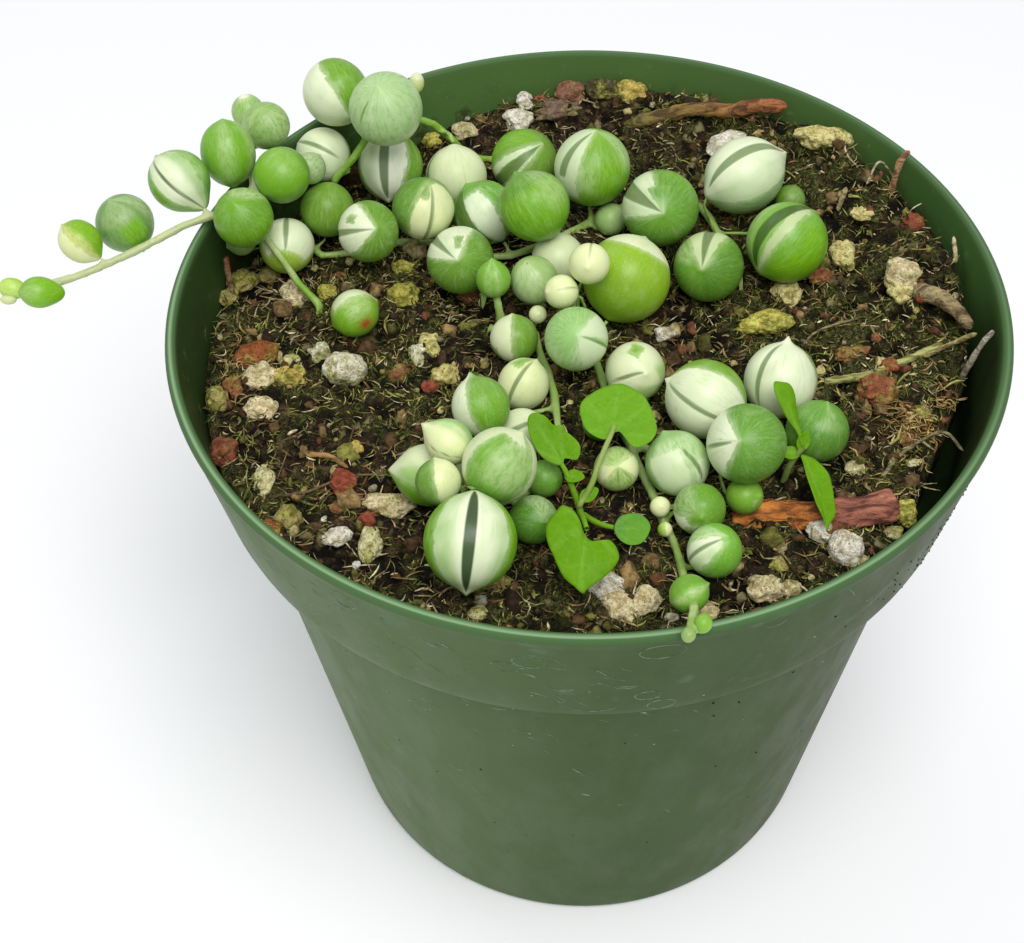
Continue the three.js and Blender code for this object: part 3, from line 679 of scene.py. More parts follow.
# The sunlit cream is painted light: a brighter cream for pearls that lie in shade.
CREAMS = {
    "white": (230, 238, 204), "cream": (224, 231, 190), "yellow": (230, 236, 182),
    "pale": (218, 227, 184), "soft": (212, 226, 186), "sunlit": (248, 252, 230),
    "dim": (196, 210, 158),
}
LIME, DEEP, RUST = [linear(colour) for colour in ((126, 184, 18), (72, 118, 30), (172, 62, 40))]
# The cream that the underside of each pearl turns to: painted shade.
UNDERSIDE_SHADE_CREAM = linear((196, 214, 120))

# Buds too small to be parts of their own in the CAD, where they are one with their strand:
# x, y, z, diameter, length to width, tip lean, tip heading.
BUDS = {
    "trail_01": (-76.2, 5.8, 97.6, 2.8, 1.3, 80, 172),
    "trail_02": (-72.2, 4.2, 98.2, 4.1, 1.2, 78, -172),
    "trail_07": (-47.0, 39.5, 99.8, 4.7, 1.08, 15, 120),
    "trail_10": (-37.2, 25.7, 100.1, 4.4, 1.0, 60, 45),
    "trail_12": (-47.1, 17.9, 94.2, 4.3, 1.0, 100, -150),
    "trail_22": (5.0, 23.5, 90.7, 4.5, 1.0, 60, 60),
    "trail_27": (30.6, 23.9, 92.8, 4.3, 1.0, 50, 60),
    "front_02": (0.6, 2.6, 101.3, 5.3, 1.0, 60, -100),
    "front_03": (-3.1, 0.9, 98.1, 4.4, 1.0, 70, -160),
    "front_06": (1.0, -16.0, 90.7, 4.3, 1.0, 60, -60),
    "front_07": (2.5, -25.0, 92.2, 5.5, 1.0, 35, -90),
    "front_13": (17.9, -29.4, 91.4, 4.5, 1.0, 60, -30),
    "front_16": (9.0, -48.0, 97.0, 4.3, 1.04, 70, 18),
    "front_17": (7.5, -30.5, 91.2, 2.5, 1.0, 40, -90),
    "front_18": (7.8, -33.8, 90.9, 1.8, 1.0, 40, -90),
    "front_19": (9.8, -53.9, 99.5, 2.0, 1.1, 60, 60),
    "front_20": (8.1, -55.1, 99.2, 1.6, 1.1, 100, -110),
    "left_01": (-12.0, 6.0, 96.0, 4.6, 1.08, 25, 95),
    "left_03": (-6.2, 2.8, 92.3, 2.4, 1.0, 50, -80),
    "left_08": (-6.5, -25.0, 90.8, 4.6, 1.0, 60, -40),
    "left_13": (-19.2, -31.1, 98.1, 5.4, 1.0, 45, 100),
    "trail_00": (-76.6, 4.3, 97.0, 1.3, 1.7, 88, 176),
    "back_07": (-22.3, 41.4, 102.4, 2.2, 1.35, 25, 70),
}
BUD_SWELL = 1.02
STRANDS = {"trail": "trailing_stem", "back": "back_stem", "front": "front_stem",
           "left": "left_stem"}

# Each pearl's colouring: its green, its cream, and the features painted on it. Polar angles
# that are left out are 0 and 180, from the tip to the base.
#   cream, green, window: azimuths from, to, polar angles from, to (green cuts into cream)
#   slit: azimuth near the tip, near the base, polar angles from, to, half width in mm
#   pale, lime, deep, veil, rust: a soft patch: azimuths from, to, strength, polar angles
#   dot: azimuth, polar angle, radius in mm
LOOKS = {
    "trail_01": ("spring", "yellow", [("pale", -180, 180, 0.8, 0, 60), ("pale", -60, 40, 0.6, 60)]),
    "trail_02": ("bright", "pale", [("lime", -120, 60, 0.9, 70), ("pale", -30, 20, 0.4, 0, 90)]),
    "trail_03": ("spring", "yellow", [("cream", -105, -14), ("pale", -25, 12, 0.6),
        ("lime", 15, 100, 0.9, 30), ("veil", -105, -70, 0.4)]),
    "trail_04": ("blue", "pale", [("lime", -8, 34, 0.9, 65, 125), ("pale", 60, 95, 0.8),
        ("pale", -50, 40, 0.5, 0, 60)]),
    "trail_05": ("leaf", "white", [("cream", -42, 42, 14), ("slit", -22, -12, 10, 176, 0.28),
        ("lime", 45, 85, 0.5, 50, 120), ("veil", 20, 44, 0.6), ("pale", 30, 60, 0.5, 20, 120),
        ("lime", -80, -40, 0.6, 40, 150)]),
    "trail_06": ("bright", "pale", [("pale", -10, 20, 0.5), ("pale", 60, 100, 0.7, 0, 150),
        ("lime", 20, 60, 0.4, 60)]),
    "trail_07": ("leaf", "white", [("pale", -180, 180, 0.55), ("cream", -180, 180, 0, 20)]),
    "trail_08": ("leaf", "pale", [("pale", -180, 180, 0.6), ("pale", 20, 80, 1.0, 20, 140),
        ("pale", -80, -40, 0.9, 0, 90)]),
    "trail_09": ("mid", "pale", [("lime", -90, 60, 0.6, 60), ("pale", -40, 30, 0.25, 60, 120)]),
    "trail_10": ("dull", "pale", [("pale", -180, 180, 0.85)]),
    "trail_11": ("mid", "pale", [("pale", 95, 175, 0.9, 20, 90), ("lime", -80, 60, 0.5, 60, 170)]),
    "trail_12": ("mint", "pale", []),
    "trail_13": ("spring", "white", [("cream", -60, 88, 0, 138), ("slit", 1, 7, 30, 140, 0.42)]),
    "trail_14": ("mid", "pale", [("pale", 140, 220, 0.5, 0, 120)]),
    "trail_15": ("mid", "white", [("cream", -47, 65, 0, 150), ("green", -22, 0, 42, 62),
        ("window", 13, 27, 0, 120)]),
    "trail_16": ("leaf", "yellow", [("cream", -12, 96, 12), ("green", -16, 16, 0, 46),
        ("slit", 27, 24, 10, 172, 0.32)]),
    "trail_17": ("mid", "white", [("cream", 6, 114, 0, 170), ("window", 72, 88, 0, 130),
        ("green", 14, 40, 20, 45)]),
    "trail_18": ("leaf", "sunlit", [("cream", -32, 14, 46), ("window", -64, -33, 20, 150),
        ("veil", -32, 14, 0.3, 40)]),
    "trail_19": ("mid", "pale", [("lime", -90, 60, 0.7, 60), ("pale", 20, 60, 0.5, 20, 110),
        ("pale", 100, 160, 0.4, 0, 110)]),
    "trail_20": ("leaf", "soft", [("cream", -150, -24, 0, 120), ("window", -62, -46, 4, 90),
        ("pale", -28, 2, 0.6, 60, 105), ("pale", 60, 110, 0.9, 0, 80),
        ("lime", -10, 60, 0.6, 60, 160)]),
    "trail_21": ("mid", "soft", [("cream", 20, 106, 0, 175), ("window", 50, 76, 0, 120),
        ("green", -10, 38, 0, 44), ("lime", -60, 0, 0.4, 60, 150)]),
    "trail_22": ("mint", "pale", [("pale", 0, 60, 0.4)]),
    "trail_23": ("mint", "pale", [("cream", -180, 180)]),
    "trail_24": ("mint", "white", [("cream", -95, 48), ("slit", -25, -31, 2, 165, 0.75),
        ("veil", 10, 60, 0.5), ("veil", -110, -70, 0.5)]),
    "trail_25": ("bright", "dim", [("cream", -25, -9, 6, 172), ("slit", -26, -52, 6, 174, 0.95),
        ("pale", -90, -62, 0.9, 30, 150), ("lime", 15, 90, 0.95, 50, 160)]),
    "trail_26": ("mid", "dim", [("cream", 22, 84, 0, 170), ("window", 42, 61, 0, 110),
        ("pale", 84, 125, 0.9, 20, 110), ("deep", -120, 0, 0.35)]),
    "trail_27": ("dark", "dim", [("pale", -20, 60, 0.4)]),
    "trail_28": ("bright", "pale", [("cream", -90, -34, 0, 130), ("pale", -60, 20, 0.6, 40, 110),
        ("lime", -30, 60, 0.6, 90), ("rust", 38, 56, 0.9, 68, 92)]),
    # back_01 lies in shade and has the brighter green and cream: painted light.
    "back_01": ("bright", "white", [("cream", -75, 75, 0, 165), ("slit", 0, 10, 20, 150, 0.35)]),
    "back_02": ("bright", "white", [("cream", -180, 180), ("green", -4, 88, 40)]),
    "back_03": ("mint", "soft", [("pale", -180, 180, 0.75), ("pale", -55, -28, 1.0),
        ("cream", -28, 40, 96), ("slit", -58, -60, 22, 66, 0.22)]),
    "back_04": ("mid", "sunlit", [("cream", -34, 62), ("slit", 7, 8, 8, 172, 0.72),
        ("lime", -100, -40, 0.6, 60), ("veil", 30, 62, 0.4)]),
    "back_05": ("lime", "cream", [("cream", -110, 110), ("slit", 62, 75, 30, 150, 0.4)]),
    "back_06": ("mid", "soft", [("cream", -22, -7, 0, 170), ("window", -7, 14, 0, 130),
        ("cream", 14, 20, 0, 150), ("lime", -100, -40, 0.7, 20, 120)]),
    "front_01": ("lime", "cream", [("cream", -180, 180, 0, 57), ("deep", -30, 40, 0.15, 100, 170)]),
    "front_02": ("pale", "yellow", [("cream", -180, 180), ("slit", 12, 18, 20, 150, 0.18)]),
    "front_03": ("pale", "yellow", [("cream", -180, 180), ("slit", 2, 8, 40, 140, 0.16)]),
    "front_04": ("mint", "soft", [("cream", -172, -106, 0, 120), ("cream", -95, -42, 0, 110),
        ("slit", -104, -112, 6, 110, 0.26), ("pale", 160, 200, 0.9, 20, 150),
        ("pale", 60, 150, 0.6, 50, 150)]),
    "front_05": ("bright", "cream", [("cream", -180, 180), ("green", -52, -22, 78, 104),
        ("slit", -2, 50, 50, 118, 0.34), ("veil", 40, 170, 0.8, 0, 60),
        ("veil", -100, -30, 0.5, 0, 40)]),
    "front_06": ("mid", "pale", [("pale", -90, 90, 0.8, 100)]),
    "front_07": ("bright", "yellow", [("pale", -180, 180, 0.85), ("cream", -100, -46, 0, 170),
        ("cream", 62, 130, 0, 170), ("slit", -2, 4, 6, 60, 0.14), ("slit", 44, 50, 10, 60, 0.12)]),
    "front_08": ("mint", "white", [("cream", -60, 8, 60), ("cream", 20, 90, 96),
        ("slit", 12, 40, 55, 140, 0.36), ("veil", -180, 180, 0.35), ("pale", -40, 60, 0.9, 40)]),
    "front_09": ("bright", "white", [("cream", -120, 40), ("slit", -19, -26, 10, 150, 0.36),
        ("dot", -48, 60, 0.16)]),
    "front_10": ("mid", "white", [("cream", -182, -112), ("cream", 127, 182),
        ("slit", -166, -166, 6, 80, 0.3)]),
    "front_11": ("leaf", "white", [("cream", -180, 62), ("slit", -46, -44, 10, 140, 0.42),
        ("pale", 62, 86, 0.5)]),
    "front_12": ("mid", "pale", [("pale", 0, 30, 0.5, 0, 60), ("deep", -180, 180, 0.3, 60)]),
    "front_13": ("bright", "yellow", []),
    "front_14": ("mid", "white", [("cream", 100, 140, 34, 140), ("pale", 30, 92, 0.5, 20, 120),
        ("pale", 150, 190, 0.8, 20, 120)]),
    "front_15": ("bright", "white", [("cream", -60, -2, 16), ("slit", -36, -36, 10, 130, 0.28),
        ("pale", -100, -60, 0.8), ("veil", -20, 0, 0.5)]),
    "front_16": ("bright", "pale", [("pale", -9, 9, 0.8), ("deep", -60, -30, 0.3, 30, 120)]),
    "front_17": ("pale", "yellow", [("cream", -180, 180)]),
    "front_18": ("lime", "yellow", [("cream", -180, 0)]),
    "front_19": ("dull", "yellow", [("lime", -180, 180, 0.5)]),
    "front_20": ("dull", "yellow", [("pale", -180, 180, 0.3)]),
    "left_01": ("bright", "pale", [("pale", -28, -12, 0.6), ("pale", 8, 22, 0.6)]),
    "left_02": ("mint", "white", [("pale", -80, 20, 0.6), ("dot", 0, 4, 0.16)]),
    "left_03": ("pale", "yellow", [("cream", -180, 180)]),
    "left_04": ("mid", "cream", [("cream", -98, -9), ("green", -92, -48, 100, 165)]),
    "left_05": ("bright", "yellow", [("cream", -180, 180), ("green", -64, -26, 0, 62),
        ("slit", -14, -16, 16, 165, 0.32)]),
    "left_06": ("leaf", "white", [("cream", -78, -26), ("pale", -104, -78, 0.7),
        ("lime", -20, 60, 0.5, 80)]),
    "left_07": ("leaf", "cream", [("cream", -180, 180), ("slit", -15, -15, 20, 160, 0.36)]),
    "left_08": ("mid", "pale", []),
    "left_09": ("dark", "pale", [("pale", -110, -50, 0.9, 10, 130),
        ("pale", -180, -110, 0.6, 0, 120), ("deep", 0, 120, 0.4, 30)]),
    "left_10": ("leaf", "pale", [("cream", -104, -48, 0, 150), ("cream", -60, 40, 0, 30),
        ("cream", 64, 110, 0, 140), ("pale", -14, 60, 0.7, 20, 110)]),
    "left_11": ("mint", "yellow", [("cream", -180, 52), ("slit", -52, -20, 26, 150, 0.16),
        ("veil", 30, 60, 0.6)]),
    "left_12": ("bright", "pale", [("cream", -28, 100, 0, 170), ("veil", -30, 10, 0.7, 30),
        ("lime", -90, -28, 0.7, 60)]),
    "left_13": ("mid", "yellow", [("cream", -4, 100)]),
    "left_14": ("leaf", "white", [("cream", -54, 50), ("slit", 2, -2, 3, 178, 0.74),
        ("lime", 40, 95, 0.5, 40, 150), ("lime", -95, -52, 0.9, 20, 160), ("veil", 25, 52, 0.6),
        ("veil", -56, -40, 0.5)]),
    "trail_00": ("pale", "pale", [("pale", -180, 180, 0.8)]),
    "back_07": ("pale", "pale", [("cream", -180, 180, 0, 60)]),
}
# How dark the windows of these pearls are, and how streaked each green is, from 0 to 1.
DEEP_SLITS = {"left_14": 1.0, "trail_26": 0.25, "trail_25": 0.6, "trail_05": 0.5, "back_04": 0.3,
              "trail_21": 0.15}
STREAKY = {"mint": 0.6, "leaf": 0.28, "mid": 0.32, "dark": 0.34, "blue": 0.35, "dull": 0.3,
           "bright": 0.22, "lime": 0.12, "pale": 0.2, "spring": 0.12}
SMOOTH_ONES = ("front_01", "trail_09")  # pearls with hardly a streak
# Pearls whose colours run round another axis than their tip: its lean and heading.
PAINT_AXES = {"front_05": (89, -35)}

SMALL = 3.0  # a pearl of this radius or less has the smaller grid
GRID, SMALL_GRID = (35, 60), (25, 44)  # rows, columns
# The height over the radius and the spread in degrees of a tip, or of a neck at the base.
TIP, NECK = (0.09, 7.0), (0.05, 10.0)
TIPS = {
    "trail_24": (0.2, 12.0), "trail_06": (0.05, 7.0), "left_11": (0.34, 13.0),
    "left_12": (0.24, 15.0), "left_06": (0.2, 7.0), "front_09": (0.13, 5.0), "front_11": (0.2, 5.0),
    "front_12": (0.12, 6.0), "back_01": (0.12, 9.0), "trail_19": (0.14, 5.0),
    "left_14": (0.13, 7.0), "left_01": (0.2, 12.0), "front_16": (0.14, 7.0)
}
NECKS = {
    "trail_05": (0.2, 20.0), "trail_03": (0.14, 18.0), "back_04": (0.14, 15.0),
    "trail_24": (0.1, 14.0), "trail_02": (0.34, 34.0), "trail_01": (0.22, 30.0)
}
SLIT_SINK, WOBBLE = 0.022, 0.012  # how far windows sink and the skin swells, over the radius
FAR_INSIDE, FAR_OUTSIDE = 9.0, -9.0  # mm from the edge of a painted shape
OUTSIDE_SLIT = -0.3  # the same past the ends of a slit
FIRST_ROW = 0.6  # degrees from the tip or the base to the nearest row of the grid
FULL_STREAKS = 4.2  # the streaks are fainter on a pearl of a smaller radius
STREAKS_APART = 3.7  # so that no two pearls have the same streaks


def turned_by(azimuth, centre):
    return (azimuth - centre + 180) % 360 - 180


def pearl_shape(name):
    """Centre, radius, length to width, tip direction and CAD node of a pearl."""
    node = "pearl_" + name
    if name in BUDS:
        x, y, z, diameter, stretch, lean, heading = BUDS[name]
        return (np.array([x, y, z]), diameter / 2 * BUD_SWELL, stretch, direction(lean, heading),
                STRANDS[name.split("_")[0]])
    verts = np.unique(np.round(cad(node)[0], 3), axis=0)
    tip = verts[np.argmax(np.linalg.norm(verts - verts.mean(0), axis=1))]
    base = verts[np.argmax(np.linalg.norm(verts - tip, axis=1))]
    from_ends = np.minimum(np.linalg.norm(verts - tip, axis=1),
                           np.linalg.norm(verts - base, axis=1))
    body = verts[from_ends > 1e-3]
    centre, facing = body.mean(0), unit(tip - base)
    offset = body - centre
    radius = np.linalg.norm(offset - np.outer(offset @ facing, facing), axis=1).max()
    return centre, radius, np.linalg.norm(base - centre) / radius, facing, node


def side_axes(tip):
    """Two directions square to a tip; the first is as near to FRONT as it can be.

    It is as near to +Y where the tip itself points at FRONT."""
    first = FRONT - (FRONT @ tip) * tip
    if np.linalg.norm(first) < 0.05:
        first = np.array([0, 1, 0]) - tip[1] * tip
    return unit(first), np.cross(tip, unit(first))


def skin_of(name, normal, radius, tip, from_tip, around):
    """Where each point lies on the skin as it is painted, and the mm per degree there."""
    axis, polar, azimuth = tip, from_tip, around
    first, second = side_axes(axis)
    if name in PAINT_AXES:
        axis = direction(*PAINT_AXES[name])
        first, second = side_axes(axis)
        polar = np.degrees(np.arccos(np.clip(normal @ axis, -1, 1)))
        azimuth = np.degrees(np.arctan2(normal @ second, normal @ first))
    run = radius * math.pi / 180
    return SimpleNamespace(normal=normal, radius=radius, axes=(first, second, axis), polar=polar,
                           azimuth=azimuth, run=run, arc=run * np.sin(np.radians(polar)))


def wedge(skin, low, high, near=0, far=180):
    """How far inside a wedge of the skin each point lies, in mm."""
    half = (high - low) / 2
    side = (half - abs(turned_by(skin.azimuth, (low + high) / 2))) * skin.arc
    if half >= 180:
        side = FAR_INSIDE
    start = (skin.polar - near) * skin.run if near > 0 else FAR_INSIDE
    end = (far - skin.polar) * skin.run if far < 180 else FAR_INSIDE
    return np.minimum(side, np.minimum(start, end))


def slit(skin, top, bottom, near, far, half):
    """How far inside a thin lens-shaped line each point lies, in mm."""
    share = np.clip((skin.polar - near) / (far - near), 0, 1)
    width = half * np.clip(4 * share * (1 - share), 0, 1) ** 0.75
    width = np.where((skin.polar < near) | (skin.polar > far), OUTSIDE_SLIT, width)
    return width - abs(turned_by(skin.azimuth, top + (bottom - top) * share)) * skin.arc


def dot(skin, azimuth, polar, size):
    first, second, axis = skin.axes
    x, y, z = direction(polar, azimuth)
    away = skin.radius * np.arccos(np.clip(skin.normal @ (x * first + y * second + z * axis), -1, 1))
    return smooth(away, size, size * 0.5)


def patch(skin, low, high, strength, near=0, far=180):
    """A patch of colour with soft edges."""
    half = (high - low) / 2
    side = smooth(abs(turned_by(skin.azimuth, (low + high) / 2)), half + 14, half - 6)
    start = smooth(skin.polar, near - 12, near + 10) if near > 0 else 1.0
    end = smooth(skin.polar, far + 12, far - 10) if far < 180 else 1.0
    return strength * side * start * end


# What each kind of feature is made by, and the field that it adds to.
PAINTERS = {kind: (wedge, kind) for kind in ("cream", "green", "window")}
PAINTERS.update({kind: (patch, kind) for kind in ("pale", "lime", "deep", "veil", "rust")})
PAINTERS.update(slit=(slit, "window"), dot=(dot, "dot"))


def painted(skin, features):
    """The fields of a pearl's features: mm inside a shape, or the strength of a patch."""
    fields = {field: np.full(len(skin.polar), FAR_OUTSIDE if painter is wedge else 0.0)
              for painter, field in PAINTERS.values() if painter is not slit}
    for kind, *values in features:
        painter, field = PAINTERS[kind]
        fields[field] = np.maximum(fields[field], painter(skin, *values))
    fields["cream"] = np.minimum(fields["cream"], -fields["green"])
    return fields


def pearl_tints(green, cream, fields, normal, index):
    """The green and the cream of a pearl at each point, both limier underneath: painted light on the
    green, painted shade on the cream.
    """
    rng = np.random.default_rng(SEED + index)
    down = -normal[:, 2]
    tint = linear(np.clip(np.array(GREENS[green]) + rng.normal(0, 4, 3), 0, 255))
    # Painted light: the green grows limier where the skin faces down.
    lime = np.clip(fields["lime"] + 0.30 * smooth(down, 0.0, 0.9), 0, 1)
    for colour, share in ((LIME, lime), (DEEP, fields["deep"]), (RUST, fields["rust"])):
        tint = blend(tint, colour, share[:, None])
    veil = 0.06 + fields["veil"] * (0.75 + 0.6 * layered(normal * 4, 1.6, 3, 70 + index))
    veil = np.clip(veil + 0.10 * noise(normal * 3, 1.2, 90 + index), 0, 1)[:, None]
    light = blend(linear(CREAMS[cream]), tint, veil)
    # Painted shade: the cream grows darker and limier where the skin faces down.
    return tint, blend(light, UNDERSIDE_SHADE_CREAM, 0.22 * smooth(down, -0.2, 0.9)[:, None])


def pearl(name, index):
    centre, radius, stretch, tip, node = pearl_shape(name)
    green, cream, features = LOOKS[name]
    rows, columns = GRID if radius > SMALL else SMALL_GRID
    from_tip, around = [grid.ravel() for grid in np.meshgrid(
        np.linspace(FIRST_ROW, 180 - FIRST_ROW, rows),
        np.arange(columns) * 360 / columns - 180, indexing="ij")]
    t, a = np.radians(from_tip), np.radians(around)
    first, second = side_axes(tip)
    out = np.outer(np.cos(a), first) + np.outer(np.sin(a), second)
    normal = np.sin(t)[:, None] * out + np.cos(t)[:, None] * tip
    skin = skin_of(name, normal, radius, tip, from_tip, around)
    fields = painted(skin, features)
    tint, light = pearl_tints(green, cream, fields, normal, index)

    tip_height, tip_spread = TIPS.get(name, TIP)
    neck_height, neck_spread = NECKS.get(name, NECK)
    scale = (1 + tip_height * np.exp(-(from_tip / tip_spread) ** 1.2)
             + neck_height * np.exp(-((180 - from_tip) / neck_spread) ** 2)
             - SLIT_SINK * smooth(fields["window"], -0.15, 0.25))
    scale = radius * scale * (1 + WOBBLE * noise(normal * 2, 1.3, 40 + index))
    verts = centre + scale[:, None] * (normal + np.outer((normal @ tip) * (stretch - 1), tip))

    t, a = np.radians(skin.polar), np.radians(skin.azimuth)
    calm = name in SMOOTH_ONES
    lively = smooth(np.sin(t), 0.10, 0.5) * min(1.0, radius / FULL_STREAKS)
    data = {key: fields[key] for key in ("cream", "window", "dot", "pale")}
    data.update(ring=np.stack([np.cos(a), np.sin(a), t + index * STREAKS_APART], -1),
                lively=lively * (0.4 if calm else 1.0), tint=tint, pale_tint=light,
                streaky=np.full(len(t), 0.04 if calm else STREAKY[green]),
                deep=np.full(len(t), DEEP_SLITS.get(name, 0.0)))
    faces = [face[::-1] for face in barrel_faces(rows, columns)]
    mesh = blank_mesh("leaf_" + name, verts, faces)
    finished("leaf_" + name, mesh, PEARL_SKIN, [node], data)


for number, pearl_name in enumerate(LOOKS):
    pearl(pearl_name, number)


# ---------------------------------------------------------------- soft copies of CAD nodes

STEM_LUMPS = [(2.4, 0.08)]
BARK_LUMPS = [(3.2, 0.35), (1.2, 0.22), (0.6, 0.12)]
STALK_LUMPS = [(1.5, 0.15), (0.7, 0.08)]
STONE_LUMPS = [(1.8, 0.22), (0.8, 0.14), (0.4, 0.07)]


def softened(name, node, material, voxel, swell, passes, tint_of, lumps, sunk=(), moss=None):
    """The CAD node's shape with its facets melted away; lumps are (size, height) of noise.

    Where a stub is hidden by the soil, sunk has its middle, reach and depth."""
    rough = add_object(name + "_rough", blank_mesh(name + "_rough", *cad(node)))
    remesh = rough.modifiers.new("fine", "REMESH")
    remesh.mode = "VOXEL"
    remesh.voxel_size = voxel * MM
    relax = rough.modifiers.new("relax", "SMOOTH")
    relax.factor = 0.5
    relax.iterations = passes
    result = applied(rough)
    co = vectors(result, "co") / MM
    height = swell + sum(amount * noise(co, size, 60 + k) for k, (size, amount) in enumerate(lumps))
    co = co + vectors(result, "normal") * height[:, None]
    for x, y, reach, depth in sunk:
        co[:, 2] -= depth * smooth(np.hypot(co[:, 0] - x, co[:, 1] - y), reach, reach * 0.6)
    result.vertices.foreach_set("co", (co * MM).ravel())
    data = {"tint": np.broadcast_to(tint_of(co), (len(co), 3))}
    if moss is not None:
        data["moss"] = np.full(len(co), moss)
    finished(name, result, material, [node], data)


def stem_tint(co):
    """Cream on the run that leaves the pot, green among the leaves, lime at the left branch."""
    x, y = co[:, :1], co[:, 1:2]
    outer = smooth(x, -38, -46)
    branch = smooth(y, 22, 17) * smooth(x, -32, -35) * (1 - outer)
    back = smooth(y, 24, 30) * smooth(x, -40, -36)
    tint = blend(linear((140, 172, 84)), linear((126, 172, 44)), branch)
    tint = blend(tint, linear((188, 198, 146)), outer)
    return blend(tint, linear((130, 176, 50)), back)


def bark_tint(co):
    return blend(linear((222, 138, 58)), linear((180, 112, 90)), smooth(co[:, :1], 25, 30))


def plain_tint(colour):
    return lambda co: linear(colour)


STUBS = {"trailing_stem": [(-34.3, 4.6, 5.2, 5.0), (24.2, 14.4, 2.7, 5.0), (23.4, 8.4, 3.2, 5.0)],
         "left_stem": [(-15.1, 4.3, 2.4, 4.0)]}
for strand in ("trailing_stem", "back_stem", "front_stem", "left_stem"):
    softened("stalks_" + strand, strand, STEM_SKIN, 0.32, -0.14, 3, stem_tint,
             STEM_LUMPS, STUBS.get(strand, ()))


# ---------------------------------------------------------------- weed leaves

# A leaf's outline is in mm in its own plane: x to its right, y towards its tip.
# Each leaf: outline, where its origin lies, where its tip points, which way it faces,
# how far its middle sinks, vein headings, tint.
WIDE = [(0.7, -0.1), (1.6, -1.1), (2.5, -2.1), (3.5, -2.1), (4.7, -1.2), (5.3, 0.3), (5.0, 2.1),
        (4.2, 4.2), (2.9, 6.0), (1.2, 7.1), (-0.4, 7.1), (-2.1, 6.2), (-3.6, 4.8), (-4.4, 3.0),
        (-3.9, 0.8), (-3.1, -0.5), (-1.9, -1.3), (-0.8, -1.4), (-0.2, -0.6)]
FOLDED = [(-0.3, -0.6), (-1.0, 0.2), (-1.6, 1.2), (-1.8, 2.5), (-1.6, 4.2), (-1.0, 6.0),
          (-0.1, 7.0), (0.8, 6.8), (1.5, 5.7), (1.7, 4.2), (2.6, 3.6), (2.4, 2.9), (2.7, 1.9),
          (2.9, 0.5), (2.4, -0.5), (1.5, -1.0), (0.8, -0.3), (0.3, 0.0)]
LOBED = [(3.4, -2.9), (2.5, -2.9), (1.6, -2.2), (0.9, -1.1), (0.4, 0.1), (-0.2, 1.0), (-1.2, 1.4),
         (-2.1, 1.1), (-2.9, 0.9), (-3.8, 2.0), (-4.1, 3.3), (-3.4, 4.8), (-2.1, 6.3), (-1.1, 7.2),
         (-0.5, 8.0), (0.6, 7.3), (1.8, 6.4), (2.7, 5.2), (3.5, 3.7), (4.3, 2.3), (4.8, 0.5),
         (4.5, -0.9), (3.9, -2.0)]
ROUND = [(-0.3, 0.2), (-1.6, 0.8), (-2.2, 1.9), (-2.1, 3.2), (-1.0, 4.4), (0.2, 4.5), (1.8, 3.7),
         (2.4, 2.3), (1.9, 1.1), (0.9, 0.4)]
UPPER_LANCE = [(0.3, 0.2), (0.0, 2.5), (-0.6, 3.8), (-1.0, 5.8), (-1.1, 7.3), (-0.9, 8.4),
               (-0.4, 9.0), (0.5, 8.7), (1.4, 8.3), (1.8, 7.5), (1.7, 6.3), (1.3, 5.0), (0.9, 3.0),
               (0.7, 0.4)]
LOWER_LANCE = [(0.2, 0.6), (-1.2, 1.2), (-2.0, 2.3), (-2.3, 3.8), (-2.2, 5.4), (-1.9, 7.0),
               (-1.5, 8.7), (-1.0, 9.6), (-0.1, 10.4), (0.6, 11.3), (0.6, 9.6), (0.9, 8.0),
               (0.9, 6.2), (0.8, 4.2), (0.6, 2.3)]
LEAFLET = [(-0.3, 0), (-0.9, 0.8), (-0.7, 1.9), (0, 2.6), (0.7, 1.9), (0.9, 0.8), (0.3, 0)]
BLUISH = (100, 156, 30)
FRESH = (96, 148, 4)
HEART_BLADES = [
    (WIDE, (2.2, -22.4, 96.5), (3.2, -15.5, 97.5), (0, -0.15, 1), 0.5, (0, 40, -40, 95, -95), BLUISH),
    (FOLDED, (-4.3, -26.1, 95.4), (-8, -20.8, 98), (-0.1, -0.5, 0.8), 0.5, (0, 30, -30), FRESH),
    (LOBED, (-1.9, -37.6, 96), (-3.2, -45, 94.6), (0, -0.3, 1), -0.6, (0, 50, -50, 130), FRESH),
    (ROUND, (1.5, -33.3, 91), (5.8, -33.8, 91), (0, -0.1, 1), 0.2, (0, 40, -40), (84, 142, 58)),
    (LEAFLET, (-2.2, -29.6, 92), (-0.2, -28.6, 92.6), (0, -0.3, 1), 0.2, (0,), FRESH),
    (LEAFLET, (-4.0, -27.6, 94.4), (-2.3, -28.3, 94.8), (0, -0.3, 1), 0.2, (0,), FRESH),
]
HEART_STALKS = [
    [(-2.0, -29.0, 87.0), (-2.3, -29.8, 91), (-1.7, -29.3, 92), (-0.7, -28.3, 93.6),
     (-0.1, -27.2, 94.8), (0.9, -25.2, 96), (1.9, -23.2, 96.7), (2.3, -22.0, 96.6)],
    [(-2.2, -29.6, 90), (-3.1, -28.6, 93), (-3.8, -27.5, 94.6), (-4.4, -26.6, 95.4)],
    [(-2.2, -29.8, 90), (-2.3, -32.5, 93), (-2.1, -35.5, 95.2), (-1.9, -37.4, 96.0)],
    [(-1.8, -30.4, 90), (-0.8, -31.8, 90.6), (0.4, -32.8, 90.9), (1.6, -33.3, 91)],
]
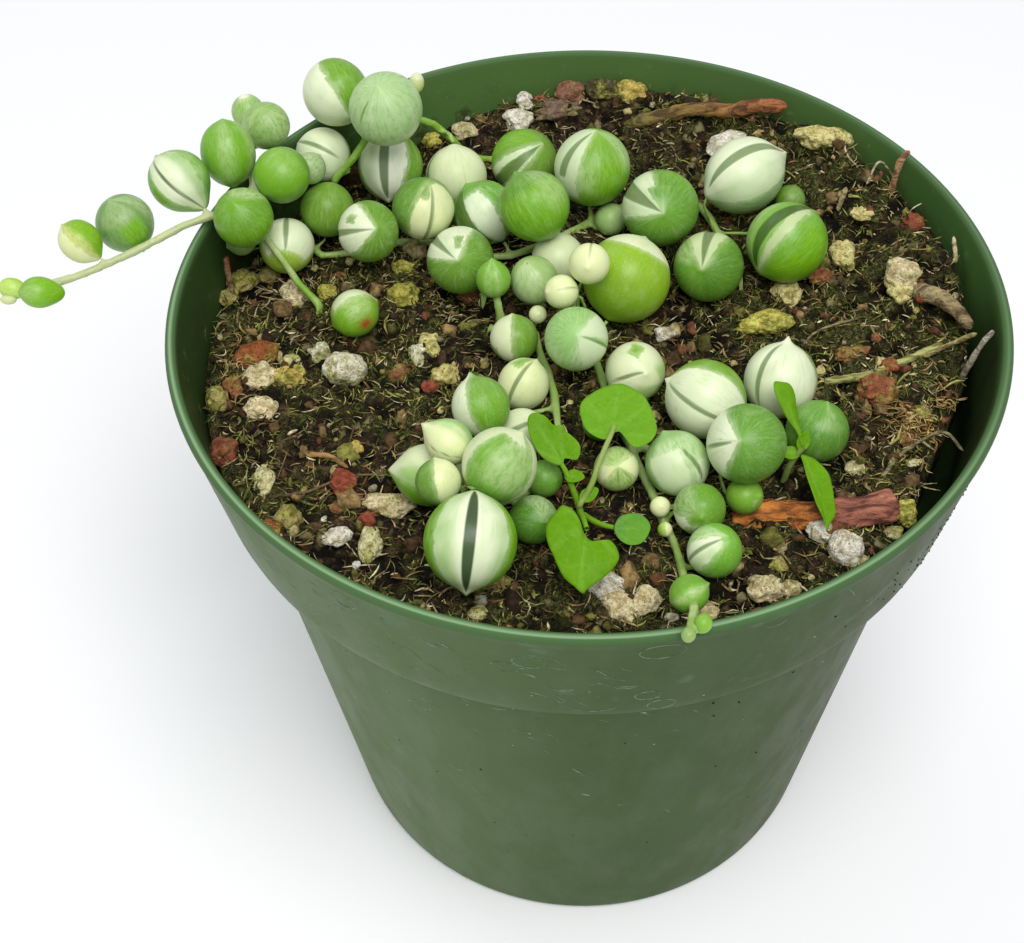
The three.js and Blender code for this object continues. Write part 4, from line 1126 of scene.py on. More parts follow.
LANCE_BLADES = [
    (UPPER_LANCE, (25.4, -24.4, 94), (22.9, -17.6, 99), (0.5, -0.6, 0.7), -0.25, (0,), FRESH),
    (LOWER_LANCE, (25.4, -24.4, 94), (27.6, -34.2, 91.7), (0.3, 0, 1), 0.3, (0,), FRESH),
    (LEAFLET, (25.2, -24.3, 93.6), (26.9, -21.2, 96.2), (0.4, -0.6, 0.7), 0.3, (0,), FRESH),
    (LEAFLET, (25.2, -24.4, 93.2), (22.4, -24.0, 93.2), (0, -0.3, 1), 0.1, (0,), FRESH),
]
LANCE_STALKS = [[(23.8, -24.0, 87.5), (24.2, -24.4, 91), (24.9, -24.4, 93), (25.5, -24.4, 94.2)]]
LEAF_RINGS = 9
LEAF_THICK, STALK_RADII = 0.26, (0.42, 0.30)
STALK_SIDES = 12
ROOT_TINT, STALK_TINT = linear((150, 168, 96)), linear((110, 158, 30))


def blade(heap, outline, origin, towards, facing, sink, veins, colour):
    """A leaf of even thickness with a rounded edge and a dished face."""
    origin = np.array(origin, float)
    along = unit(np.array(towards, float) - origin)
    side = unit(np.cross(along, facing))
    face = np.cross(side, along)
    edge = curve(outline + outline[:3], 4)[4:4 * (len(outline) + 1)]
    middle = np.array([edge[:, 0].mean() * 0.6, edge[:, 1].mean()])
    share = 1 - (1 - np.linspace(0, 1, LEAF_RINGS)) ** 1.25
    flat = middle + (edge - middle)[None] * share[:, None, None]
    bow = -sink * (1 - share ** 2)[:, None] - 0.010 * (flat[..., 1] - middle[1]) ** 2
    bow = bow + 0.16 * noise(np.pad(flat, ((0, 0), (0, 0), (0, 1))), 1.9, 8)
    half = LEAF_THICK / 2 * np.sqrt(np.clip(1 - share ** 6, 0.03, 1))[:, None]
    top = np.concatenate([flat, (bow + half)[..., None]], -1)
    low = np.concatenate([flat, (bow - half)[..., None]], -1)[::-1]
    local = np.concatenate([top, low]).reshape(-1, 3)
    verts = origin + local[:, :1] * side + local[:, 1:2] * along + local[:, 2:] * face
    angle = np.degrees(np.arctan2(local[:, 0], local[:, 1] + 0.2))
    far = np.hypot(local[:, 0], local[:, 1])
    length = np.ptp(edge[:, 1])
    vein = np.zeros(len(local))
    for heading in veins:
        off = far * np.sin(np.radians(abs(turned_by(angle, heading)).clip(0, 90)))
        vein = np.maximum(vein, smooth(off, 0.32, 0.05) * smooth(far, length, length * 0.3))
    heap.add(verts, grid_faces(2 * LEAF_RINGS, len(edge)), tint=linear(colour), vein=vein)


def seedling(name, node, blades, stalks):
    heap = Heap()
    for each in blades:
        blade(heap, *each)
    for k, points in enumerate(stalks):
        line = curve(points, 6)
        verts, faces = tube(line, np.linspace(*STALK_RADII, len(line)), STALK_SIDES)
        heap.add(verts, faces, tint=STALK_TINT if k else ROOT_TINT, vein=0)
    heap.piece(name, LEAF_SKIN, "weed_leaf", [node])


seedling("heart_leaves", "heart_leaf_seedling", HEART_BLADES, HEART_STALKS)
seedling("lance_leaves", "lance_leaf_seedling", LANCE_BLADES, LANCE_STALKS)
softened("bark_piece", "bark", BARK_SKIN, 0.3, 0.0, 2, bark_tint, BARK_LUMPS)
softened("flat_stalk", "dry_stalk", STALK_SKIN, 0.2, 0.05, 2,
         plain_tint((176, 178, 108)), STALK_LUMPS)


# ---------------------------------------------------------------- pot

POT_LOW, POT_HIGH = [np.array(v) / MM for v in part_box("pot")]
RIM_RADIUS = (POT_HIGH[0] - POT_LOW[0]) / 2
TOP = POT_HIGH[2]
BAND_BOTTOM = TOP - 20.5
WALL = 1.5
BASE_RADIUS = 38.6
BODY_TOP_RADIUS = 48.2
BAND_RADIUS = 51.5
FLOOR = 1.6
POT_SEGMENTS = 240
SHARP_ANGLE = math.radians(50)
HOLES, HOLE_RADIUS, HOLE_CIRCLE, HOLE_SIDES = 8, 4, 29, 32
HOLE_PAST = 1  # how far the cutter of a hole stands out below and above the floor

# The radius and height of the pot's turned edges. UNDERSIDE is measured from the origin, STEP
# from the wall under the band and the band's bottom, and LIP from the rim.
UNDERSIDE = [(20, 1.2), (34.6, 1.2), (35.0, 0.9), (35.4, 0.0), (37.4, 0.0), (38.2, 0.2),
             (38.6, 0.9)]
STEP = [(0.1, -0.3), (0.5, 0), (2.6, 0.05), (3.05, 0.2), (3.3, 0.7)]
LIP = [(-0.22, -1.3), (-0.02, -0.8), (-0.12, -0.3), (-0.42, -0.06), (-0.7, -0.14),
       (-0.88, -0.10), (-1.1, 0), (-1.35, -0.12), (-1.5, -0.5), (-1.62, -1.2)]


def band_radius(z):
    return BAND_RADIUS + (RIM_RADIUS - BAND_RADIUS) * (z - BAND_BOTTOM) / (TOP - BAND_BOTTOM)


def body_radius(z):
    return BASE_RADIUS + (BODY_TOP_RADIUS - BASE_RADIUS) * z / BAND_BOTTOM


def pot_profile():
    """Radius and height from the middle of the underside out, up and back in."""
    rows = list(UNDERSIDE)
    rows += [(body_radius(z), z) for z in np.linspace(2, BAND_BOTTOM - 1.2, 16)]
    rows += [(BODY_TOP_RADIUS + out, BAND_BOTTOM + up) for out, up in STEP]
    rows += [(band_radius(z), z) for z in np.linspace(BAND_BOTTOM + 2, TOP - 2.2, 8)]
    rows += [(RIM_RADIUS + out, TOP + up) for out, up in LIP]
    rows += [(band_radius(z) - WALL, z) for z in np.linspace(TOP - 3, BAND_BOTTOM + 2.2, 7)]
    rows += [(BODY_TOP_RADIUS - WALL, BAND_BOTTOM)]
    rows += [(body_radius(z) - WALL, z) for z in np.linspace(60, 3, 5)]
    return np.array(rows + [(34, FLOOR)], float)


def full_turn(sides):
    return np.arange(sides) * 2 * math.pi / sides


def hole_cutter():
    verts, faces = [], []
    bore = rings(HOLE_RADIUS, [[-HOLE_PAST], [FLOOR + HOLE_PAST]], full_turn(HOLE_SIDES))
    for k in range(HOLES):
        middle = direction(90, 360 * (k + 0.5) / HOLES) * HOLE_CIRCLE * [1, 1, 0]
        faces += barrel_faces(2, HOLE_SIDES, len(verts))
        verts += (bore.reshape(-1, 3) + middle).tolist()
    return add_object("holes", blank_mesh("holes", verts, faces))


def pot():
    profile = pot_profile()
    verts = rings(profile[:, :1], profile[:, 1:], full_turn(POT_SEGMENTS)).reshape(-1, 3)
    blank = add_object("pot_blank", blank_mesh("pot_blank", verts,
                                               barrel_faces(len(profile), POT_SEGMENTS)))
    holes = blank.modifiers.new("holes", "BOOLEAN")
    holes.object = hole_cutter()
    holes.operation = "DIFFERENCE"
    holes.solver = "EXACT"
    result = applied(blank, holes.object)

    x, y, z = (vectors(result, "co") / MM).T
    out = np.hypot(x, y)
    wall = np.where(z > BAND_BOTTOM, band_radius(z), body_radius(z))
    inside = ((out < wall - WALL * 0.8) & (z > FLOOR - 0.1)).astype(float)
    inside = np.where(z > TOP - 0.6, smooth(out, RIM_RADIUS - 1.1, RIM_RADIUS - 1.6), inside)
    lip = smooth(z, TOP - 1.4, TOP - 0.3) * smooth(out, RIM_RADIUS - 1.7, RIM_RADIUS - 1.2)
    # Painted highlight: a thin bright ring along the lip, strongest towards the front and the left.
    ridge = smooth(z, TOP - 0.5, TOP - 0.2) * smooth(abs(out - RIM_RADIUS + 0.70), 0.30, 0.08)
    glint = ridge * (0.25 + 0.65 * smooth(x * 0.6 + y, 20, -40))
    piece = finished("nursery_pot", result, PLASTIC, ["pot"],
                     {"inside": inside, "lip": lip, "glint": glint})
    piece.data.set_sharp_from_angle(angle=SHARP_ANGLE)


pot()


def wall_point(heading, z, lift=0.03):
    """A point on the outside of the pot."""
    base = band_radius(z) if z > BAND_BOTTOM + 0.5 else body_radius(z)
    return direction(90, heading) * (base + lift) + np.array([0, 0, z])


# Rings left by water drops on the band: heading, mm below the rim, half width, half height.
DRIED_RINGS = [(-84, 3.4, 2.7, 1.6), (-70, 2.4, 1.3, 1.0), (-92, 17.5, 3.0, 1.2),
               (-85, 15.0, 1.6, 1.1), (-83, 18.0, 1.8, 1.2), (-88, 11.5, 1.5, 1.0),
               (-100, 6, 1.9, 1.4), (-103, 8.0, 1.7, 1.2), (-112, 5, 1.6, 1.2),
               (-117, 9, 1.4, 1.2), (-124, 4, 1.8, 1.4), (-96, 12, 1.5, 1.0)]
SCRATCHES = 120
SPECKS = 150


def ribbon(heap, headings, heights, width, tint):
    """A hair-thin strip on the wall, narrower at its ends."""
    points = np.array([wall_point(h, z) for h, z in zip(headings, heights)])
    along = unit(np.gradient(points, axis=0))
    across = unit(np.cross(along, points * [1, 1, 0]))
    steps = np.arange(len(points))
    ends = np.clip(np.minimum(steps, steps[::-1]), 0, 3) / 3
    half = (width / 2 * (0.25 + 0.75 * ends))[:, None]
    verts = np.stack([points - across * half, points + across * half], 1).reshape(-1, 3)
    heap.add(verts, grid_faces(len(points), 2, wrap=False), tint=linear(tint))


def water_marks(rng):
    heap = Heap()
    for heading, below, wide, tall in DRIED_RINGS:
        turn = np.radians(np.linspace(190, 350, 22))
        if rng.random() < 0.4:
            turn = np.linspace(0, 2 * math.pi, 30)
        ribbon(heap, heading + math.degrees(wide / RIM_RADIUS) * np.cos(turn),
               TOP - below + tall * np.sin(turn), 0.16, (112, 140, 112))
    for _ in range(SCRATCHES):
        heading = rng.choice([rng.normal(-122, 13), rng.uniform(-150, -40), rng.normal(-95, 10)])
        z = rng.choice([rng.uniform(62, TOP - 3), rng.uniform(30, TOP - 3)], p=[0.8, 0.2])
        if abs(z - BAND_BOTTOM) < 2.5:
            continue
        length, slope = rng.uniform(0.6, 2.4), rng.normal(-0.5, 0.5)
        t = np.linspace(-1, 1, 9)
        arch = rng.normal(0, 0.3) * t ** 2
        tint = (126, 150, 124) if rng.random() < 0.8 else (168, 184, 160)
        ribbon(heap, heading + math.degrees(length / 50) * t * 0.6,
               z + length * slope * t * 0.6 + arch, rng.uniform(0.06, 0.16), tint)
    heap.piece("water_marks", WATER_MARK, "pot_plastic", ["pot"])


def wall_specks(rng):
    """Specks of dirt, most of them in a group at the right of the band, and of white dust."""
    heap = Heap()
    ball, faces = BALLS[1]
    dark, white = (40, 44, 34), (150, 168, 146)
    for _ in range(SPECKS):
        group = rng.random()
        if group < 0.5:
            heading, z, tint = rng.normal(-38, 7), rng.normal(84, 4.5), dark
        elif group < 0.7:
            heading, z, tint = rng.uniform(-140, -40), rng.uniform(15, 90), dark
        else:
            heading, z, tint = rng.uniform(-150, -40), rng.uniform(60, 94), white
        if abs(z - BAND_BOTTOM) < 1.5 or z > TOP - 2:
            continue
        size = rng.uniform(0.08, 0.22)
        verts = ball * size * [1, 1, 0.8] + wall_point(heading, z, -0.35 * size)
        heap.add(verts, faces, tint=linear(tint))
    heap.piece("wall_specks", SHRED_SKIN, "pot_plastic", ["pot"])


wall_random = np.random.default_rng(SEED)
water_marks(wall_random)
wall_specks(wall_random)


# ---------------------------------------------------------------- soil

soil_verts, soil_faces = cad("soil")
SOIL_TREE = BVHTree.FromPolygons([tuple(v) for v in soil_verts], soil_faces)
SOIL_BOTTOM = soil_verts[:, 2].min()
SOIL_LEVEL = 88.0
OVER_EDGE = 4  # how far over SOIL_LEVEL a twig lies where it is past the soil's edge
PROBE_HEIGHT = 120.0
DOWN = Vector((0, 0, -1))


def cad_soil(x, y):
    """Height of the CAD soil's top at a point, or None outside it."""
    hit = SOIL_TREE.ray_cast(Vector((x, y, PROBE_HEIGHT)), DOWN)[0]
    return None if hit is None or hit.z < SOIL_LEVEL - 2 else hit.z


def soil_reach(heading):
    """How far out the soil's top goes that way."""
    low, high = 30.0, 56.0
    for _ in range(12):
        middle = (low + high) / 2
        x, y, _z = direction(90, heading) * middle
        low, high = (low, middle) if cad_soil(x, y) is None else (middle, high)
    return low


SOIL_COLUMNS, SOIL_ROWS = 560, 114
HEADINGS = np.arange(SOIL_COLUMNS) * 360 / SOIL_COLUMNS - 180
MEDIAN_SPAN = 9
REACH = np.array([soil_reach(h) for h in HEADINGS])
REACH = np.median([np.roll(REACH, k) for k in range(-MEDIAN_SPAN, MEDIAN_SPAN + 1)], axis=0)
SKIRT = [(0.0, 85.0), (0.15, 80.5), (0.4, 80.0)]  # inset from the top's edge, height
LOWER_LEVELS = (77.0, 40.0, SOIL_BOTTOM)
WALL_GAP = 0.35


def flat_points(x, y):
    return np.stack([x, y, np.zeros_like(x)], -1)


def edge_rise(x, y):
    """Loose crumbs and moss heaped against the wall at the back and on the right."""
    heading, out = np.degrees(np.arctan2(y, x)), np.hypot(x, y)
    back = 1.7 * smooth(heading, 20, 55) * smooth(heading, 128, 100) * smooth(out, 44, 51)
    right = 2.2 * smooth(heading, -10, 10) * smooth(heading, 62, 38) * smooth(out, 40, 50)
    return back + right


def relief(x, y):
    """Lumps and hollows of the soil surface, in mm."""
    p = flat_points(x, y)
    ridged = 1 - abs(layered(p, 2.6, 2, 33)) * 2
    return (0.85 * layered(p, 4.2, 2, 5) + 0.95 * layered(p, 1.8, 3, 9) + 0.50 * noise(p, 0.9, 21)
            + 0.30 * ridged - 0.10)


def mossiness(p):
    return layered(p, 9.0, 3, 77)


def soil():
    angle = np.radians(HEADINGS)
    radius = np.linspace(0, 1, SOIL_ROWS)[1:, None] * (REACH - 0.1)
    x, y = radius * np.cos(angle), radius * np.sin(angle)
    base = np.array([cad_soil(u * 0.999, v * 0.999) or SOIL_LEVEL
                     for u, v in zip(x.ravel(), y.ravel())]).reshape(x.shape)
    bumps = relief(x, y)
    edge = smooth(REACH - radius, 0, 1.2)
    z = base + bumps * (0.3 + 0.7 * edge) + edge_rise(x, y) - 0.8 * (1 - edge)
    moss = 0.5 + 0.5 * mossiness(flat_points(x, y)) + 0.12 * smooth(x, 10, 32)
    rows = [np.stack([x, y, z], -1)]
    rows += [rings(radius[-1] - inset, height, angle)[None] for inset, height in SKIRT]
    rows += [rings(body_radius(level) - WALL - WALL_GAP, level, angle)[None]
             for level in LOWER_LEVELS]
    verts = np.concatenate(rows).reshape(-1, 3)
    faces = [f[::-1] for f in barrel_faces(len(verts) // SOIL_COLUMNS, SOIL_COLUMNS)]
    bottom = faces.pop()
    faces.pop()
    middle = len(verts)
    faces += [(middle, k, (k + 1) % SOIL_COLUMNS) for k in range(SOIL_COLUMNS)] + [bottom]
    verts = np.vstack([verts, [[0, 0, cad_soil(0.01, 0.01)]]])
    below = len(verts) - x.size
    # The relief, kept as rise, darkens the hollows with painted shade.
    finished("peat", blank_mesh("peat", verts, faces), SOIL_SKIN, ["soil"],
             {"rise": np.append(bumps, [-0.3] * below), "moss": np.append(moss, [0.2] * below)})


soil()


def ground(x, y):
    """Height of the finished soil surface, or None outside it."""
    base = cad_soil(x, y)
    if base is None:
        return None
    xs, ys = np.array([x]), np.array([y])
    return float(base + relief(xs, ys)[0] + edge_rise(xs, ys)[0])


def anywhere(rng, edge=0.4):
    """A random point on the soil, no nearer to its edge than that."""
    while True:
        heading, share = rng.uniform(-180, 180), math.sqrt(rng.random())
        reach = REACH[int((heading + 180) / 360 * SOIL_COLUMNS) % SOIL_COLUMNS] - edge
        x, y, _ = direction(90, heading) * reach * share
        z = ground(x, y)
        if z is not None:
            return np.array([x, y, z])


def pick(rng, table):
    """A colour from a weighted table, a little lighter or darker."""
    weights = np.array([w for _, w in table])
    colour = np.array(table[rng.choice(len(table), p=weights / weights.sum())][0], float)
    return linear(np.clip(colour * (1 + rng.normal(0, 0.12)), 8, 250))


def thread(rng, spot, length, rise, width, bend=0.7, steps=4):
    """A short three-sided fibre, bent sideways by a random amount."""
    heading = rng.uniform(0, 2 * math.pi)
    along = np.array([math.cos(heading), math.sin(heading), rise])
    side = np.array([-along[1], along[0], 0])
    t = np.linspace(-0.5, 0.5, steps)[:, None]
    points = spot + along * t * length + side * (t ** 2) * rng.normal(0, bend) * length
    points[:, 2] += rng.uniform(-0.05, 0.5)
    taper = np.interp(t[:, 0], [-0.5, -1 / 6, 1 / 6, 0.5], [0.35, 1, 0.9, 0.2])
    return tube(points, width * taper, 3)


# Colours and how often each comes.
FIBRE_TINTS = [((222, 208, 164), 0.15), ((176, 152, 104), 0.20), ((118, 92, 58), 0.18),
               ((48, 36, 20), 0.15), ((156, 158, 86), 0.18), ((96, 106, 44), 0.16)]
MOSS_TINTS = [((152, 154, 74), 0.28), ((116, 122, 50), 0.28), ((78, 84, 32), 0.20),
              ((196, 188, 116), 0.16), ((40, 36, 18), 0.10)]
CRUMB_TINTS = [((96, 72, 46), 0.24), ((54, 40, 25), 0.20), ((140, 116, 76), 0.16),
               ((118, 116, 56), 0.18), ((184, 172, 120), 0.12), ((122, 80, 54), 0.10)]
CURLY_TINTS = [((206, 174, 110), 0.3), ((168, 130, 74), 0.3), ((226, 202, 146), 0.2),
               ((132, 98, 56), 0.2)]
GRIT_TINTS = [((196, 186, 140), 0.4), ((164, 150, 88), 0.35), ((134, 92, 66), 0.12),
              ((222, 218, 198), 0.12)]
FIBRES, MOSS_THREADS, CRUMBS, GRIT = 7600, 6400, 860, 150
THREAD_VERTS = 12
TUFT = 5  # moss threads that stand together
# Dry curly moss: middle x, y, spread in x, y, number of threads.
CURLY_PATCHES = [(41.4, -16.6, 1.9, 2.1, 125), (47.4, -12.4, 1.2, 1.0, 35),
                 (42.4, -26.8, 0.8, 1.6, 30), (-47.2, -1.0, 0.8, 3.4, 25)]


def add_fibres(heap, rng):
    for _ in range(FIBRES):
        length = rng.gamma(2.2, 0.55) + 0.4
        verts, faces = thread(rng, anywhere(rng), length, rng.normal(0.1, 0.3),
                              rng.uniform(0.06, 0.12) + rng.gamma(1.0, 0.035))
        heap.add(verts, faces, tint=pick(rng, FIBRE_TINTS))


def add_moss(heap, rng):
    while heap.count < THREAD_VERTS * MOSS_THREADS:
        spot = anywhere(rng, 0.8)
        if mossiness(spot[None] * [1, 1, 0])[0] < rng.normal(-0.05, 0.12):
            continue
        for _ in range(TUFT):
            near = spot + rng.normal(0, 0.5, 3) * [1, 1, 0]
            near[2] = (ground(near[0], near[1]) or spot[2]) + rng.uniform(0, 0.25)
            verts, faces = thread(rng, near, rng.uniform(0.5, 1.3), rng.normal(0.5, 0.6),
                                  rng.uniform(0.05, 0.11))
            heap.add(verts, faces, tint=pick(rng, MOSS_TINTS))


def add_crumbs(heap, rng):
    ball, faces = BALLS[1]
    for k in range(CRUMBS):
        spot = anywhere(rng, 0.6)
        size = rng.gamma(3.0, 0.15) + 0.15
        rough = 1 + 0.55 * noise(ball * 2 + k * 9.1, 0.9, 3)[:, None]
        verts = ball * size * rng.uniform(0.6, 1.25, 3) * rough + spot + [0, 0, size * 0.1]
        heap.add(verts, faces, tint=pick(rng, CRUMB_TINTS))


def add_curly_moss(heap, rng):
    for x, y, wide, deep, count in CURLY_PATCHES:
        for _ in range(count):
            near = np.array([rng.normal(x, wide), rng.normal(y, deep), 0])
            z = ground(near[0], near[1])
            shape = rng.uniform(1.0, 2.4), rng.normal(0.3, 0.5), rng.uniform(0.08, 0.17)
            if z is None:
                continue
            near[2] = z + rng.uniform(0.1, 0.7)
            verts, faces = thread(rng, near, *shape, bend=2.4, steps=7)
            heap.add(verts, faces, tint=pick(rng, CURLY_TINTS))


litter_random = np.random.default_rng(SEED + 1)
curly_random = np.random.default_rng(SEED + 3)
for litter_name, scatter, source in (
        ("fibres", add_fibres, litter_random), ("moss", add_moss, litter_random),
        ("crumbs", add_crumbs, litter_random), ("curly_moss", add_curly_moss, curly_random)):
    litter = Heap()
    scatter(litter, source)
    litter.piece(litter_name, SHRED_SKIN, "soil", ["soil"])


# ---------------------------------------------------------------- stones and twigs

# Mineral grains and bark crumbs lying on the soil: kind, x, y, half width, half depth.
GRAINS = [
    ("cream", -40.3, 12.7, 1.9, 2.0), ("ygreen", -35.4, 13.1, 1.5, 1.5),
    ("brown", -34.0, 16.3, 1.2, 1.2), ("ygreen", -24.9, 17.1, 1.7, 1.2),
    ("ygreen", -24.7, 11.9, 2.1, 2.0), ("cream", -43.7, -3.7, 2.1, 2.3),
    ("cream", -43.2, -9.0, 2.1, 1.7), ("ygrain", -39.6, -3.3, 2.2, 2.0),
    ("pale", -40.1, 0.1, 1.6, 1.6), ("wgreen", -35.9, 0.9, 1.6, 1.6),
    ("redbrown", -47.1, -4.8, 1.3, 1.9), ("mossy", -49.0, -7.2, 1.6, 1.8),
    ("darkred", -47.6, -15.8, 1.8, 2.3), ("pale", -41.9, -22.0, 1.2, 2.3),
    ("red", -31.6, -23.0, 1.9, 1.6), ("brown", -31.7, -25.8, 1.5, 1.3),
    ("mossy", -38.4, -28.1, 1.8, 1.8), ("lava", -40.8, -30.2, 2.2, 1.8),
    ("cream", -25.8, -26.5, 3.0, 1.8), ("white", -32.0, -31.5, 1.7, 1.4),
    ("pale", -28.1, -32.3, 1.6, 3.0), ("red", -28.5, -28.5, 1.2, 1.1),
    ("pyellow", -20.9, 1.6, 1.4, 2.4), ("wgreen", -22.6, 0.0, 1.3, 1.8),
    ("ycream", -18.7, -3.8, 1.8, 1.6), ("brown", -25.2, -3.1, 1.4, 1.5),
    ("red", -20.9, -6.1, 1.1, 1.1), ("white", 10.9, 1.8, 1.4, 1.2),
    ("grey", -14.6, -41.1, 1.0, 1.1), ("pale", -15.0, -43.4, 1.1, 1.0),
    ("white", 0.0, -40.2, 2.5, 2.2), ("cream", 2.2, -43.4, 2.4, 1.7),
    ("cream", 4.6, -42.8, 2.0, 1.8), ("white", 7.8, -45.0, 0.9, 0.8),
    ("cream", 12.0, -44.3, 1.4, 1.2), ("yellow", 24.7, 2.7, 3.5, 2.0),
    ("redbrown", 37.7, -10.0, 3.2, 2.8), ("red", 40.2, -6.2, 1.2, 1.1),
    ("brown", 35.5, -2.9, 2.4, 1.4), ("red", 23.8, -30.7, 1.8, 1.6),
    ("white", 27.0, -33.2, 1.9, 1.4), ("pale", 22.0, -30.3, 0.8, 1.4),
    ("yellow", 37.7, -30.5, 1.5, 1.9), ("pale", 36.1, -33.2, 1.2, 0.9),
    ("pale", 39.6, -28.8, 1.0, 1.0), ("cream", 19.2, -41.6, 2.3, 2.0),
    ("cream", 22.4, -41.0, 1.3, 1.2), ("cream", 30.2, -37.6, 1.4, 1.0),
    ("red", 45.7, 3.4, 1.4, 1.3), ("white", 23.4, 37.6, 3.3, 2.8),
    ("pyellow", 36.2, 33.6, 3.6, 2.0), ("cream", 44.1, 8.2, 2.6, 2.6),
    ("pyellow", 43.6, 5.9, 1.9, 1.9), ("pyellow", 37.2, 15.5, 1.9, 2.9),
    ("pyellow", 40.7, 20.5, 2.0, 1.2), ("pyellow", 28.6, 9.2, 1.9, 2.0),
    ("red", 46.6, 16.4, 1.5, 1.6), ("redbrown", 33.6, 12.1, 1.8, 1.4),
    ("white", -7.6, 46.6, 2.2, 2.2), ("white", -6.6, 49.6, 1.2, 1.8),
    ("pinkbrown", 0.9, 50.4, 2.9, 2.0), ("red", -4.0, 50.2, 1.1, 1.0),
    ("greybark", -0.8, 47.4, 4.4, 1.5), ("greybark", -2.2, 48.9, 2.6, 1.2),
    ("mossyrock", 5.4, 49.6, 2.6, 2.0), ("ygrain", 10.0, 49.4, 2.3, 1.9),
    ("brown", 12.2, 50.8, 1.7, 1.4), ("cream", -15.6, 45.8, 2.0, 1.5),
    ("yellow", -20.8, 45.0, 1.5, 1.2), ("mossy", -47.6, 15.4, 2.1, 2.2),
    ("mossy", -44.0, 17.3, 1.8, 1.6), ("mossy", -49.2, 12.4, 1.4, 1.6),
    ("mossy", 21.6, -37.6, 1.4, 1.2), ("pale", 40.6, -22.0, 1.0, 0.7),
    ("pale", 33.2, -22.4, 1.3, 1.0), ("mossy", -12.4, -38.4, 2.0, 1.8),
    ("mossy", 42.8, -14.2, 1.5, 1.4), ("brown", 40.4, -18.4, 1.6, 1.3),
    ("ygrain", -30.4, -17.0, 1.0, 1.0), ("pale", -30.6, 6.4, 0.9, 1.6)
]
# Each kind's colour, and how much moss grows on it.
KINDS = {
    "cream": ((246, 232, 190), 0.45), "ygreen": ((206, 200, 96), 0.9),
    "brown": ((150, 106, 70), 0.4), "lava": ((164, 96, 56), 0.5), "ygrain": ((224, 202, 112), 0.8),
    "pale": ((230, 226, 176), 0.7), "wgreen": ((236, 238, 210), 0.75),
    "redbrown": ((160, 96, 68), 0.45), "mossy": ((176, 166, 104), 0.9),
    "darkred": ((142, 72, 60), 0.15), "red": ((164, 84, 64), 0.25),
    "white": ((254, 250, 238), 0.22), "pyellow": ((238, 228, 160), 0.7),
    "ycream": ((242, 228, 160), 0.6), "grey": ((190, 190, 174), 0.4),
    "yellow": ((226, 220, 110), 0.9), "pinkbrown": ((160, 116, 96), 0.2),
    "greybark": ((136, 114, 100), 0.3), "mossyrock": ((84, 78, 54), 0.6)
}


def grain_shape(spot, radii, turn, index, level):
    """A craggy pitted pebble."""
    ball, faces = BALLS[level]
    rough = (1 + 0.36 * layered(ball + index * 5.3, 0.95, 2, 4)
             + 0.20 * noise(ball + index * 7.7, 0.40, 5)
             - 0.20 * smooth(noise(ball + index * 3.1, 0.27, 6), 0.2, 0.6))
    x, y, z = (ball * rough[:, None] * np.array(radii)).T
    c, s = math.cos(turn), math.sin(turn)
    return np.stack([x * c - y * s, x * s + y * c, z], -1) + spot, faces


def grains():
    rng = np.random.default_rng(SEED + 2)
    heap = Heap()
    for k, (kind, x, y, width, depth) in enumerate(GRAINS):
        z = ground(x, y)
        if z is None:
            continue
        colour, moss = KINDS[kind]
        tall = min(width, depth) * rng.uniform(0.65, 0.85)
        verts, faces = grain_shape(np.array([x, y, z + tall * 0.2]), (width, depth, tall),
                                   rng.uniform(-0.3, 0.3), k, 3 if width + depth > 2.7 else 2)
        heap.add(verts, faces, tint=linear(colour), moss=moss)
    for k in range(GRIT):
        spot = anywhere(rng, 0.5)
        size = rng.uniform(0.25, 0.6)
        verts, faces = grain_shape(spot + [0, 0, size * 0.15],
                                   (size * rng.uniform(0.8, 1.4), size, size * 0.8),
                                   rng.uniform(0, 3), 200 + k, 1)
        heap.add(verts, faces, tint=pick(rng, GRIT_TINTS), moss=0.3)
    heap.piece("grains", STONE_SKIN, "stone", ["soil"])


grains()

# The three grains that are parts of their own in the CAD: name, tint, moss.
for stone, colour, mossy in (("pumice", (242, 242, 216), 0.8), ("lava", (164, 96, 56), 0.5),
                             ("perlite", (254, 250, 238), 0.2)):
    softened(stone + "_rough_stone", stone + "_stone", STONE_SKIN, 0.18, 0.05, 3,
             plain_tint(colour), STONE_LUMPS, moss=mossy)

